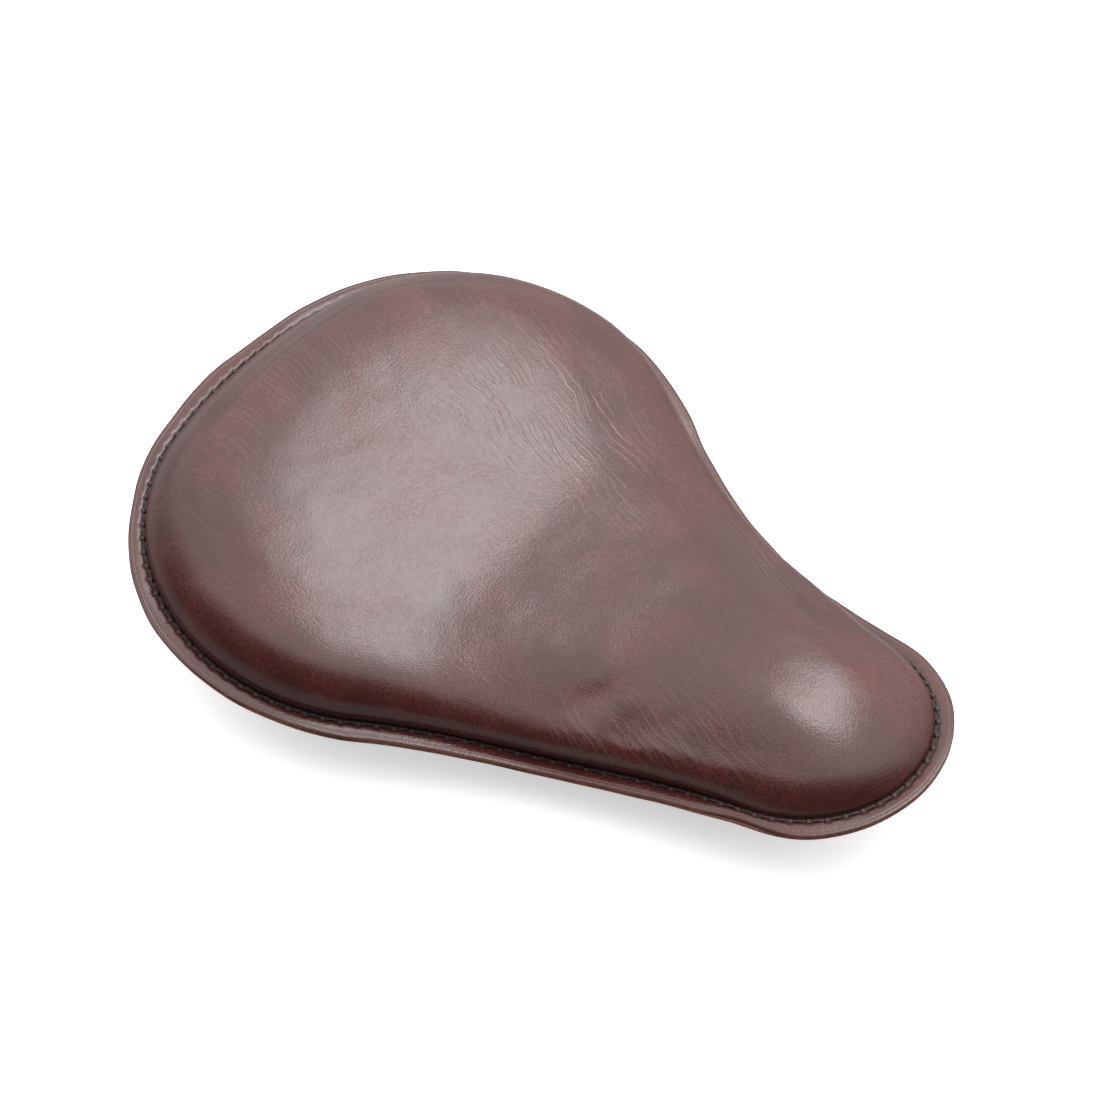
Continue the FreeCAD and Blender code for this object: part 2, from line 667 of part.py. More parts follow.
def make_nose_bracket(under_pan):
    """Folded channel welded under the nose: a web on the pan and two hinge ears."""
    block = common("ear_block", extrude("ear_bar", ear_sketch(), f"2 * {EAR_OUTSIDE}", True), under_pan)
    slot = add("Part::Box", "ear_slot")
    bind(slot, Length="sheet.web_length + 2 * sheet.ear_slot_overrun", Width="sheet.ear_gap")
    bind(slot, Height="sheet.ear_blank_height + 2 * sheet.ear_slot_overrun")
    slot_x = f"{PIVOT_X} - sheet.web_length / 2 - sheet.ear_slot_overrun"
    move(slot, slot_x, "-sheet.ear_gap / 2", "-sheet.ear_slot_overrun")
    below_web = band("below_web", ("-cushion_height", "-ear_radius"), ("welt_leather", "-web_thickness"))
    channel = cut("ear_channel", block, common("ear_slot_trimmed", slot, below_web))
    hole = cylinder("ear_hole", EAR_HOLE_RADIUS, f"2 * {EAR_OUTSIDE}")
    move(hole, PIVOT_X, f"-{EAR_OUTSIDE}", "sheet.pivot_height", ALONG_Y)
    return cut("nose_channel", channel, hole)


def plane_of(body, role):
    return next(f for f in body.Origin.OriginFeatures if f.Role == role)


def body_sketch(body, name, role):
    sketch = body.newObject("Sketcher::SketchObject", name)
    sketch.AttachmentSupport = [(plane_of(body, role), "")]
    sketch.MapMode = "FlatFace"
    return sketch


def circle(sketch, radius, text, x=0.0, x_text=None, y=0.0, y_text=None):
    """A circle with its radius and centre bound to the sheet."""
    index = sketch.addGeometry(Part.Circle(Vector(x, y, 0), Vector(0, 0, 1), radius), False)
    drive(sketch, "Radius", (index,), radius, text)
    for kind, size, size_text in (("DistanceX", x, x_text), ("DistanceY", y, y_text)):
        if size_text:
            drive(sketch, kind, (index, 3), size, size_text)
    if not x_text:
        sketch.addConstraint(Sketcher.Constraint("PointOnObject", index, 3, -2))
    if not y_text:
        sketch.addConstraint(Sketcher.Constraint("PointOnObject", index, 3, -1))
    return index


def centred_rectangle(sketch, length, length_text, width, width_text):
    """A rectangle about the sketch's origin, its two sizes bound to the sheet."""
    corners = [Vector(length / 2 * a, width / 2 * b, 0) for a, b in ((-1, -1), (1, -1), (1, 1), (-1, 1))]
    lines = [Part.LineSegment(corners[n], corners[(n + 1) % 4]) for n in range(4)]
    first = sketch.addGeometry(lines, False)[0]
    sides = range(first, first + 4)
    for n, side in enumerate(sides):
        sketch.addConstraint(Sketcher.Constraint("Coincident", side, 2, sides[(n + 1) % 4], 1))
        sketch.addConstraint(Sketcher.Constraint("Horizontal" if n % 2 == 0 else "Vertical", side))
    sketch.addConstraint(Sketcher.Constraint("Symmetric", first, 1, first + 2, 1, -1, 1))
    drive(sketch, "Distance", (first,), length, length_text)
    drive(sketch, "Distance", (first + 1,), width, width_text)


def make_frame_bracket():
    """Frame side of the nose hinge: a drilled foot plate with the pivot barrel on it."""
    body = add("PartDesign::Body", "frame_bracket_body")
    foot_outline = body_sketch(body, "foot_outline", "XY_Plane")
    tab_length, tab_width = value("tab_length"), value("tab_width")
    centred_rectangle(foot_outline, tab_length, "sheet.tab_length", tab_width, "sheet.tab_width")
    hole_x = value("tab_hole_spacing") / 2
    for sign, text in ((-1, "-sheet.tab_hole_spacing / 2"), (1, "sheet.tab_hole_spacing / 2")):
        circle(foot_outline, value("tab_hole_radius"), "sheet.tab_hole_radius", sign * hole_x, text)
    foot = body.newObject("PartDesign::Pad", "foot")
    foot.Profile = foot_outline
    bind(foot, Length="sheet.tab_thickness")
    doc.recompute()
    edges = foot.Shape.Edges
    corners = [f"Edge{n}" for n, e in enumerate(edges, start=1) if is_plate_corner(e)]
    foot_corners = body.newObject("PartDesign::Fillet", "foot_corners")
    foot_corners.Base = (foot, corners)
    bind(foot_corners, Radius="sheet.tab_corner_radius")
    pedestal_outline = body_sketch(body, "pedestal_outline", "XZ_Plane")
    radius, rise = value(*BARREL_RADIUS), value("pivot_height")
    foot_level = value("tab_thickness") / 2
    stations = ((-1, rise), (-1, foot_level), (1, foot_level), (1, rise))
    corner_points = [Vector(side * radius, z, 0) for side, z in stations]
    pedestal_outline.addGeometry(
        [
            Part.ArcOfCircle(Part.Circle(Vector(0, rise, 0), Vector(0, 0, 1), radius), 0, math.pi),
            Part.LineSegment(corner_points[0], corner_points[1]),
            Part.LineSegment(corner_points[1], corner_points[2]),
            Part.LineSegment(corner_points[2], corner_points[3]),
        ],
        False,
    )
    start, end = 1, 2
    constrain = pedestal_outline.addConstraint
    constrain(Sketcher.Constraint("Tangent", 0, end, 1, start))
    constrain(Sketcher.Constraint("Coincident", 1, end, 2, start))
    constrain(Sketcher.Constraint("Coincident", 2, end, 3, start))
    constrain(Sketcher.Constraint("Tangent", 3, end, 0, start))
    constrain(Sketcher.Constraint("Horizontal", 2))
    constrain(Sketcher.Constraint("Vertical", 1))
    constrain(Sketcher.Constraint("PointOnObject", 0, 3, -2))
    drive(pedestal_outline, "Radius", (0,), radius, formula(*BARREL_RADIUS))
    drive(pedestal_outline, "DistanceY", (0, 3), rise, "sheet.pivot_height")
    drive(pedestal_outline, "DistanceY", (2, start), foot_level, "sheet.tab_thickness / 2")
    pedestal = body.newObject("PartDesign::Pad", "pedestal")
    pedestal.Profile = pedestal_outline
    pedestal.Midplane = True
    bind(pedestal, Length=BARREL_WIDTH)
    bore_outline = body_sketch(body, "bore_outline", "XZ_Plane")
    bush_radius, bush_text = value(*BUSH_OUTSIDE), formula(*BUSH_OUTSIDE)
    circle(bore_outline, bush_radius, bush_text, y=rise, y_text="sheet.pivot_height")
    bore = body.newObject("PartDesign::Pocket", "bore")
    bore.Profile = bore_outline
    bore.Midplane = True
    bind(bore, Length="sheet.ear_gap")
    doc.recompute()
    assert bore.Shape.Volume < pedestal.Shape.Volume - CLOSE, "the barrel's bore cuts nothing"
    return move(body, x=PIVOT_X)


def is_plate_corner(edge):
    """An upright edge at a corner of the foot plate, and not a hole's seam."""
    box = edge.BoundBox
    upright = box.XLength < CLOSE and box.YLength < CLOSE
    return upright and abs(abs(box.YMin) - value("tab_width") / 2) < CLOSE


def make_pivot_bush(side, sign):
    """Flanged nylon bush, pressed into its end of the barrel."""
    turn = ALONG_Y if sign > 0 else Rotation(Vector(1, 0, 0), 90)
    flange_y = f"{sign} * ({BARREL_WIDTH} / 2)"
    sleeve_y = f"{sign} * ({BARREL_WIDTH} / 2 - sheet.bush_length)"
    whole = formula("bush_length", "bush_flange")
    sleeve = cylinder(f"bush_{side}_sleeve", formula(*BUSH_OUTSIDE), "sheet.bush_length")
    move(sleeve, PIVOT_X, sleeve_y, "sheet.pivot_height", turn)
    flange_radius = formula(*BUSH_OUTSIDE, "bush_flange_lip")
    flange = cylinder(f"bush_{side}_flange", flange_radius, "sheet.bush_flange")
    move(flange, PIVOT_X, flange_y, "sheet.pivot_height", turn)
    bore = cylinder(f"bush_{side}_bore", formula(*BUSH_BORE), whole)
    move(bore, PIVOT_X, sleeve_y, "sheet.pivot_height", turn)
    return cut(f"bush_{side}", fuse(f"bush_{side}_blank", sleeve, flange), bore)


def make_pivot_bolt():
    """Hex-head pivot bolt: head on the rider's right, nut on the left."""
    head_y = f"-({EAR_OUTSIDE} + sheet.pivot_washer_thickness + sheet.pivot_head_height)"
    shank_y = f"-({EAR_OUTSIDE} + sheet.pivot_washer_thickness)"
    past_ears = formula("pivot_washer_thickness", "pivot_nut_height", "pivot_thread_spare")
    shank_length = f"2 * {EAR_OUTSIDE} + sheet.pivot_washer_thickness + {past_ears}"
    head = hexagon("pivot_head", "sheet.pivot_head_flats", "sheet.pivot_head_height")
    move(head, PIVOT_X, head_y, "sheet.pivot_height", ALONG_Y)
    shank = cylinder("pivot_shank", "sheet.pivot_bolt_radius", shank_length)
    move(shank, PIVOT_X, shank_y, "sheet.pivot_height", ALONG_Y)
    return fuse("pivot_bolt_blank", head, shank)


def make_pivot_nut():
    y = f"{EAR_OUTSIDE} + sheet.pivot_washer_thickness"
    blank = hexagon("pivot_nut_blank", "sheet.pivot_head_flats", "sheet.pivot_nut_height")
    move(blank, PIVOT_X, y, "sheet.pivot_height", ALONG_Y)
    hole = cylinder("pivot_nut_hole", "sheet.pivot_bolt_radius", "sheet.pivot_nut_height")
    move(hole, PIVOT_X, y, "sheet.pivot_height", ALONG_Y)
    return cut("pivot_nut_tapped", blank, hole)


def make_pivot_washers():
    washers = []
    thickness = "sheet.pivot_washer_thickness"
    for side, y in (("left", EAR_OUTSIDE), ("right", f"-({EAR_OUTSIDE} + {thickness})")):
        disc = cylinder(f"pivot_washer_{side}_disc", "sheet.pivot_washer_radius", thickness)
        move(disc, PIVOT_X, y, "sheet.pivot_height", ALONG_Y)
        hole = cylinder(f"pivot_washer_{side}_hole", EAR_HOLE_RADIUS, thickness)
        move(hole, PIVOT_X, y, "sheet.pivot_height", ALONG_Y)
        washers.append(cut(f"pivot_washer_{side}", disc, hole))
    return add("Part::Compound", "pivot_washer_pair", Links=washers)


# ---------------------------------------------------------------- the assembly
under_pan = band("under_pan", ("-cushion_height",), WELT_TOP)
foam_blank = make_foam_blank()
nodes = {
    "top_cover": make_top_cover(),
    "edge_welt": make_edge_welt(),
    "seam_thread_top": make_seam_thread("thread_top", FLANGE_TOP, FLANGE_TOP + ("thread_height",)),
    "seam_thread_bottom": make_seam_thread("thread_bottom", ("-thread_height",), FLOOR),
    "foam_top": make_foam_top(foam_blank),
    "foam_base": make_foam_base(foam_blank),
    "seat_pan": make_seat_pan(),
    "pan_rivets": copies("rivet_group", make_rivet_master(), on_profile(rivet_spots())),
    "breather_eyelets": copies("eyelet_group", make_eyelet_master(), on_profile(eyelet_spots())),
    "spring_studs": make_spring_studs(),
    "stud_washers": make_stud_washers(),
    "stud_nuts": make_stud_nuts(),
    "nose_bracket": make_nose_bracket(under_pan),
    "frame_bracket": make_frame_bracket(),
    "pivot_bush_left": make_pivot_bush("left", 1),
    "pivot_bush_right": make_pivot_bush("right", -1),
    "pivot_bolt": make_pivot_bolt(),
    "pivot_nut": make_pivot_nut(),
    "pivot_washers": make_pivot_washers(),
}
for side, y in stud_sides():
    nodes[f"spring_boss_{side}"] = make_spring_boss(side, y, under_pan)

for name, made in nodes.items():
    made.Label = name
doc.recompute()

# ---------------------------------------------------------------- checks and export
for made in doc.Objects:
    bad = {"Invalid", "Error"} & set(made.State)
    assert not bad, f"{made.Label} is {bad}"
for sketch in doc.findObjects("Sketcher::SketchObject"):
    assert sketch.solve() == 0, f"{sketch.Label} doesn't solve"
os.makedirs("parts", exist_ok=True)
for name, made in nodes.items():
    assert not made.Shape.isNull() and made.Shape.isValid(), f"{name} has no valid shape"
    made.Shape.exportStep(f"parts/{name}.step")
    print(f"{name}: {len(made.Shape.Solids)} solids, {made.Shape.Volume / 1000:.1f} cm3")
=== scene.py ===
# Sprung solo motorcycle seat: waxed brown leather over foam, stitched to a two-layer leather edge.
# Metres, +X to the nose, +Y to the rider's left, +Z up, standing on the floor at z = 0.
import math

import bpy
import numpy as np
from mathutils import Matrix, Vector, noise


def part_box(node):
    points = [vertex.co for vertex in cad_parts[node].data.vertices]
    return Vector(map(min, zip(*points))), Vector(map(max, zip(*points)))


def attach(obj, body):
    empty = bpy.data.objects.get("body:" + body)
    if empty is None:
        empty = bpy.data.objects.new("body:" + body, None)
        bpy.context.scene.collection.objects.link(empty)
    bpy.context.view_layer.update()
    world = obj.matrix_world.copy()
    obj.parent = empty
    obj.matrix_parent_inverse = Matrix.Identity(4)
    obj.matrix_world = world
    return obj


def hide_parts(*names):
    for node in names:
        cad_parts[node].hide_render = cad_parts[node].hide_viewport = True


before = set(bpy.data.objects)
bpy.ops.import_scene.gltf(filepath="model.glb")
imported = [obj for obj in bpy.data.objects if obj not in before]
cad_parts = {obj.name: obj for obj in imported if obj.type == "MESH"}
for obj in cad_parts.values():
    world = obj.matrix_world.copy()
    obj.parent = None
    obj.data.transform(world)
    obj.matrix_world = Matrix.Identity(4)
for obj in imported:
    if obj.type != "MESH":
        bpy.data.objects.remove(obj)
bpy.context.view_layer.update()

MM = 0.001

# ---------------------------------------------------------------- sizes
EDGE_LOW, EDGE_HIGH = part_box("edge_welt")
HALF_LENGTH = (EDGE_HIGH.x - EDGE_LOW.x) / 2
HALF_WIDTH = (EDGE_HIGH.y - EDGE_LOW.y) / 2
REAR_CAP_RADIUS = 222 * MM
SIDE_RADIUS = 99 * MM
WAIST_RADIUS = 325 * MM
NOSE_RADIUS = 56 * MM

DIP_X = HALF_LENGTH - 129 * MM
DIP_RADIUS = 180 * MM
REAR_KICK = math.radians(7.7)
NOSE_KICK = math.radians(8.8)
RIDE_HEIGHT = 22 * MM

WELT = 1.7 * MM  # lower leather layer of the edge
LEATHER = 1.8 * MM  # cover leather
FLANGE_TOP = WELT + LEATHER
WELT_WIDTH = 26 * MM
CREASE = 7.7 * MM  # how far in the wall rises from the edge
SEAM = 6.6 * MM  # how far in the stitches run
SCORED_LINE = 1.9 * MM  # how far in the line along the edge is scored
STITCH_PITCH = 6.9 * MM

# The cushion's wall, by share of the way round from nose tip to rear tip: inset and height in mm.
WALL_SECTIONS = (
    (0.00, ((7.7, 3.2), (8.0, 5.6), (9.4, 8.6), (12.5, 12.2), (17.0, 16.0), (24.0, 20.2))),
    (0.14, ((7.7, 3.2), (8.0, 6.0), (9.4, 9.5), (12.5, 13.6), (17.0, 17.6), (24.0, 21.8))),
    (0.23, ((7.7, 3.2), (6.4, 7.0), (6.0, 11.3), (7.2, 15.3), (11.0, 19.2), (18.0, 23.0))),
    (0.42, ((7.7, 3.2), (6.3, 7.0), (5.7, 11.3), (6.8, 15.5), (10.5, 19.3), (17.5, 23.2))),
    (0.56, ((7.7, 3.2), (6.6, 7.5), (7.0, 13.2), (9.5, 18.5), (14.0, 23.0), (21.5, 27.6))),
    (0.78, ((7.7, 3.2), (7.6, 6.5), (9.2, 11.0), (13.5, 17.0), (19.5, 23.2), (27.0, 28.8))),
    (1.00, ((7.7, 3.2), (8.0, 5.5), (10.0, 8.8), (14.5, 14.5), (20.0, 20.8), (27.0, 27.0))),
)
# Where the hand-cut edge strays from its outline: place round the seat, depth in mm and width.
EDGE_CUTS = (
    (0.244, -1.3, 0.013),
    (0.516, -0.9, 0.02),
    (0.59, 1.0, 0.02),
    (0.656, -1.3, 0.022),
    (0.922, 3.0, 0.014),
    (0.948, -0.5, 0.01),
)
# Rises and hollows worked into the cushion: height, place on plan and reach in mm, turn in degrees.
HOLLOWS = (
    (-1.5, 54, -46, 11, 5, 50),
    (1.0, 66, -42, 10, 7, 20),
    (-0.5, 30, 52, 26, 7, -25),
)
TOP_INSETS = (35 * MM, 46 * MM)  # the section's last points lie on the crown
INNERMOST = TOP_INSETS[-1]  # the last ring before the centre line
# Slope of the crown's middle line, in degrees, from rear to nose, and its height at the dip.
CROWN_SLOPES = (
    (-140, -9.5),
    (-110, -11.5),
    (-60, -13),
    (-25, -12.5),
    (-6, -2.5),
    (46, 2),
    (60, 7),
    (93, 7.5),
    (106, 3),
    (118, -1.5),
    (140, -4),
)
CROWN_HEIGHT = 34.5 * MM
CROWN_FALL = 10 * MM  # how far the crown falls towards the edge
CROWN_REACH = 70 * MM  # and how far in that fall begins
CROWN_LAY = 40 * MM  # how much the lay grows from the shoulder to the centre line
SPINE_REAR, SPINE_NOSE = -88 * MM, 112 * MM  # ends of the line that the crown's rings close on

STATIONS = 320  # points round every ring of the leather
WALL_RINGS = 22  # rings from the crease up the wall and over the shoulder
CROWN_RINGS = 12  # rings from the shoulder in to the centre line
WALL_FOOT = 4  # the first ring that is clear of the crease
CLOTH_FRAMES = 20
SECTION_PASSES = 60  # passes that ease the wall's sections into each other
EASING = 24  # passes that even out the swelling
SHOULDER_PASSES = 45  # passes that even out the shoulder, and the strength of each in square metres
SHOULDER_PASS = 0.7 * MM * MM

CAMERA_TARGET = Vector((-31.8, 35.2, -1.6)) * MM
CAMERA_AZIMUTH = math.radians(37.23)
CAMERA_ELEVATION = math.radians(49.04)
CAMERA_DISTANCE = 1193.2 * MM
CAMERA_FIELD = math.radians(22)


# ---------------------------------------------------------------- plan outline and side profile
def outline_arcs():
    """The arcs of the +Y half from nose tip to rear tip: centre, radius, first and last bearing, bow."""
    cap = np.array([REAR_CAP_RADIUS - HALF_LENGTH, 0])
    nose = np.array([HALF_LENGTH - NOSE_RADIUS, 0])
    side_y = HALF_WIDTH - SIDE_RADIUS
    side = np.array([cap[0] - math.sqrt((REAR_CAP_RADIUS - SIDE_RADIUS) ** 2 - side_y**2), side_y])
    across = nose - side
    gap = np.hypot(*across)
    to_side, to_nose = SIDE_RADIUS + WAIST_RADIUS, NOSE_RADIUS + WAIST_RADIUS
    along = (to_side**2 - to_nose**2 + gap**2) / (2 * gap)
    unit = across / gap
    waist = side + unit * along + np.array([-unit[1], unit[0]]) * math.sqrt(to_side**2 - along**2)

    def bearing(start, end):
        return math.atan2(end[1] - start[1], end[0] - start[0])

    nose_end, side_start, side_end = bearing(nose, waist), bearing(waist, side), bearing(cap, side)
    return (
        (nose, NOSE_RADIUS, 0, nose_end, 1),
        (waist, WAIST_RADIUS, nose_end - math.pi, side_start, -1),
        (side, SIDE_RADIUS, side_start + math.pi, side_end, 1),
        (cap, REAR_CAP_RADIUS, side_end, math.pi, 1),
    )


def outline_stations(count):
    """Outline points and outward normals, counter-clockwise from the nose tip, evenly along the seam."""
    points, normals, lengths = [], [], [0.0]
    arcs = outline_arcs()
    for centre, radius, first, last, bow in arcs:
        lengths.append(lengths[-1] + (radius - bow * SEAM) * abs(last - first))
    for travel in np.linspace(0, lengths[-1], count // 2 + 1):
        number = min(int(np.searchsorted(lengths, travel, side="right")) - 1, len(arcs) - 1)
        centre, radius, first, last, bow = arcs[number]
        share = (travel - lengths[number]) / (lengths[number + 1] - lengths[number])
        angle = first + (last - first) * share
        ray = np.array([math.cos(angle), math.sin(angle)])
        points.append(centre + radius * ray)
        normals.append(bow * ray)
    points, normals = np.array(points), np.array(normals)
    mirror = np.array([1, -1])
    return np.vstack([points, points[-2:0:-1] * mirror]), np.vstack([normals, normals[-2:0:-1] * mirror])


def profile(x, height):
    """Z over the floor of a layer at that height over the leather edge's underside."""
    radius = DIP_RADIUS - height
    centre_z = RIDE_HEIGHT + DIP_RADIUS
    rear_x, nose_x = DIP_X - radius * math.sin(REAR_KICK), DIP_X + radius * math.sin(NOSE_KICK)
    rear = centre_z - radius * math.cos(REAR_KICK) + (rear_x - x) * math.tan(REAR_KICK)
    front = centre_z - radius * math.cos(NOSE_KICK) + (x - nose_x) * math.tan(NOSE_KICK)
    dip = centre_z - np.sqrt(np.maximum(radius**2 - (x - DIP_X) ** 2, 0))
    return np.where(x < rear_x, rear, np.where(x > nose_x, front, dip))


def smooth(value, low, high):
    share = np.clip((value - low) / (high - low), 0, 1)
    return share * share * (3 - 2 * share)


OUTLINE, OUTWARD = outline_stations(STATIONS)
ROUND = np.arange(STATIONS) / STATIONS


def from_outline(points):
    """How far inside the outline each point lies."""
    found = np.full(len(points), 1.0)
    for spot in OUTLINE:
        np.minimum(found, np.hypot(points[:, 0] - spot[0], points[:, 1] - spot[1]), out=found)
    return found


def edge_wave(inset):
    """Hand-worked rise and fall of the sewn edge, which dies away at the seam."""
    turn = 2 * math.pi * ROUND
    rise = 0.30 * np.sin(5 * turn + 0.8) + 0.22 * np.sin(11 * turn + 2.1) + 0.14 * np.sin(23 * turn + 4.0)
    return rise * MM * (1 - smooth(inset, 0.5 * MM, SEAM))


def edge_trim():
    """How much further in the edge was cut, round the seat."""
    turn = 2 * math.pi * ROUND
    trim = 0.16 * np.sin(7 * turn + 1.3) + 0.12 * np.sin(17 * turn + 0.2) + 0.07 * np.sin(41 * turn)
    for place, depth, width in EDGE_CUTS:
        trim += depth * np.exp(-(((ROUND - place) / width) ** 2))
    return trim * MM


def ring(inset, height):
    """Points all round at an inset from the outline and a height over the edge's underside."""
    inset = np.broadcast_to(inset, STATIONS)
    plan = OUTLINE - OUTWARD * inset[:, None]
    z = profile(plan[:, 0], 0) + height + edge_wave(inset)
    return np.column_stack([plan, z])


# ---------------------------------------------------------------- mesh building
def folded(first):
    """Vertex numbers of a ring that is folded flat on the centre line."""
    numbers = np.arange(STATIONS)
    return first + np.minimum(numbers, STATIONS - numbers)


def shell(name, rings, lays, closed_ends=(True, True)):
    """A surface through a stack of rings, crown first; the end rings fold on the centre line."""
    vertices, numbers = [], []
    for place, points in enumerate(rings):
        is_fold = closed_ends[0] and place == 0 or closed_ends[1] and place == len(rings) - 1
        first = sum(len(v) for v in vertices)
        numbers.append(folded(first) if is_fold else first + np.arange(STATIONS))
        vertices.append(points[: STATIONS // 2 + 1] if is_fold else points)
    faces, wraps = [], []
    for place in range(len(rings) - 1):
        inner, outer = numbers[place], numbers[place + 1]
        for k in range(STATIONS):
            after = (k + 1) % STATIONS
            faces.append((inner[k], outer[k], outer[after], inner[after]))
            round_here, round_next = k / STATIONS, (k + 1) / STATIONS
            near, far = lays[place], lays[place + 1]
            wraps += [(round_here, near), (round_here, far), (round_next, far), (round_next, near)]
    made = mesh_object(name, np.vstack(vertices), faces)
    lay = made.data.uv_layers.new(name="lay")
    lay.data.foreach_set("uv", np.array(wraps, np.float32).ravel())
    from_edge = np.concatenate([np.full(len(v), lays[n]) for n, v in enumerate(vertices)])
    attribute = made.data.attributes.new("from_edge", "FLOAT", "POINT")
    attribute.data.foreach_set("value", from_edge.astype(np.float32))
    return made


def put_in_scene(name, data):
    made = bpy.data.objects.new(name, data)
    bpy.context.scene.collection.objects.link(made)
    return made


def mesh_object(name, vertices, faces):
    mesh = bpy.data.meshes.new(name)
    mesh.from_pydata([tuple(map(float, v)) for v in vertices], [], [tuple(map(int, f)) for f in faces])
    mesh.shade_smooth()
    return put_in_scene(name, mesh)


def settle(made):
    """Turns what the modifiers make into the object's plain mesh."""
    bpy.context.view_layer.update()
    graph = bpy.context.evaluated_depsgraph_get()
    mesh = bpy.data.meshes.new_from_object(made.evaluated_get(graph), depsgraph=graph)
    made.modifiers.clear()
    if made.type == "MESH":
        made.data = mesh
        return made
    name = made.name
    bpy.data.objects.remove(made)
    return put_in_scene(name, mesh)


def subdivide(made):
    modifier = made.modifiers.new("subdivide", "SUBSURF")
    modifier.levels = 1
    modifier.render_levels = 1
    return settle(made)


def read_points(mesh):
    points = np.zeros(len(mesh.vertices) * 3)
    mesh.vertices.foreach_get("co", points)
    return points.reshape(-1, 3)


def read_normals(mesh):
    normals = np.zeros(len(mesh.vertices) * 3)
    mesh.vertex_normals.foreach_get("vector", normals)
    return normals.reshape(-1, 3)


def write_points(mesh, points):
    mesh.vertices.foreach_set("co", points.astype(np.float32).ravel())
    mesh.update()


def read_attribute(mesh, name):
    values = np.zeros(len(mesh.vertices))
    mesh.attributes[name].data.foreach_get("value", values)
    return values


def write_attribute(mesh, name, values):
    attribute = mesh.attributes.get(name) or mesh.attributes.new(name, "FLOAT", "POINT")
    attribute.data.foreach_set("value", np.asarray(values, np.float32))


# ---------------------------------------------------------------- node helpers
def node(tree, kind, inputs=None, **settings):
    made = tree.nodes.new(kind)
    for key, setting in settings.items():
        setattr(made, key, setting)
    for key, source in (inputs or {}).items():
        if isinstance(source, bpy.types.NodeSocket):
            tree.links.new(source, made.inputs[key])
        else:
            made.inputs[key].default_value = source
    return made


def maths(tree, operation, *values):
    return node(tree, "ShaderNodeMath", dict(enumerate(values)), operation=operation).outputs[0]


def times(tree, value, factor):
    return maths(tree, "MULTIPLY", value, factor)


def times_plus(tree, value, factor, added):
    return maths(tree, "MULTIPLY_ADD", value, factor, added)


def off_by(tree, value, middle):
    """How far a value is from a middle, either way."""
    return maths(tree, "ABSOLUTE", maths(tree, "SUBTRACT", value, middle))


def vector_maths(tree, operation, first, second):
    return node(tree, "ShaderNodeVectorMath", {0: first, 1: second}, operation=operation).outputs[0]


def clouds(tree, place, scale, detail):
    inputs = {"Vector": place, "Scale": scale, "Detail": detail}
    return node(tree, "ShaderNodeTexNoise", inputs).outputs["Fac"]


def window(tree, value, low, high, start=0.0, end=1.0):
    """Turns low..high into start..end, with soft ends."""
    inputs = {"Value": value, "From Min": low, "From Max": high, "To Min": start, "To Max": end}
    return node(tree, "ShaderNodeMapRange", inputs, interpolation_type="SMOOTHSTEP").outputs[0]


def blend(tree, share, first, second):
    return node(tree, "ShaderNodeMix", {0: share, 6: first, 7: second}, data_type="RGBA").outputs[2]


def object_coordinates(tree):
    return node(tree, "ShaderNodeTexCoord").outputs["Object"]


def mask(tree, name):
    return node(tree, "ShaderNodeAttribute", attribute_name=name).outputs["Fac"]


def lay_of(tree):
    """Place round the seat and distance in from the cut edge, from the "lay" map."""
    lay = node(tree, "ShaderNodeUVMap", uv_map="lay").outputs[0]
    laid = node(tree, "ShaderNodeSeparateXYZ", {0: lay}).outputs
    return laid["X"], laid["Y"]


SOCKET_KINDS = {int: "Int", float: "Float", tuple: "Vector"}


def node_group(name, kind, inputs, outputs):
    """An empty node group; each input has a first value, or a kind where it has none."""
    tree = bpy.data.node_groups.new(name, kind)
    for label, start in inputs.items():
        named = isinstance(start, str)
        socket_kind = "NodeSocket" + (start if named else SOCKET_KINDS[type(start)])
        socket = tree.interface.new_socket(label, in_out="INPUT", socket_type=socket_kind)
        if not named:
            socket.default_value = start
    for label, socket_kind in outputs.items():
        tree.interface.new_socket(label, in_out="OUTPUT", socket_type="NodeSocket" + socket_kind)
    return tree, tree.nodes.new("NodeGroupInput").outputs, tree.nodes.new("NodeGroupOutput").inputs


def shader_group(name, inputs, *outputs):
    inputs = {"Vector": "Vector", **inputs}
    return node_group(name, "ShaderNodeTree", inputs, dict.fromkeys(outputs, "Float"))


def geometry_group(name, inputs):
    inputs = {"Geometry": "Geometry", **inputs, "Material": "Material"}
    return node_group(name, "GeometryNodeTree", inputs, {"Geometry": "Geometry"})


def use(tree, group, **inputs):
    return node(tree, "ShaderNodeGroup", inputs, node_tree=group).outputs


# ---------------------------------------------------------------- shared surface effects
def make_pebble_group():
    """Fine pebbled hair-cell grain: small domes between narrow valleys, with a finer tooth."""
    tree, given, result = shader_group("pebble_grain", {"Cells": 900.0}, "Height")
    drift = node(tree, "ShaderNodeTexNoise", {"Vector": given["Vector"], "Scale": 260.0, "Detail": 2.0})
    shift = {0: drift.outputs["Color"], 3: 2.2 * MM}
    shift = node(tree, "ShaderNodeVectorMath", shift, operation="SCALE").outputs[0]
    moved = vector_maths(tree, "ADD", given["Vector"], shift)
    cells = {"Vector": moved, "Scale": given["Cells"], "Smoothness": 0.6}
    domes = node(tree, "ShaderNodeTexVoronoi", cells, feature="SMOOTH_F1").outputs["Distance"]
    tooth = clouds(tree, moved, times(tree, given["Cells"], 2.3), 3.0)
    rounded = maths(tree, "SUBTRACT", 1.0, times(tree, domes, 1.3))
    tree.links.new(times_plus(tree, tooth, 0.55, rounded), result["Height"])
    return tree


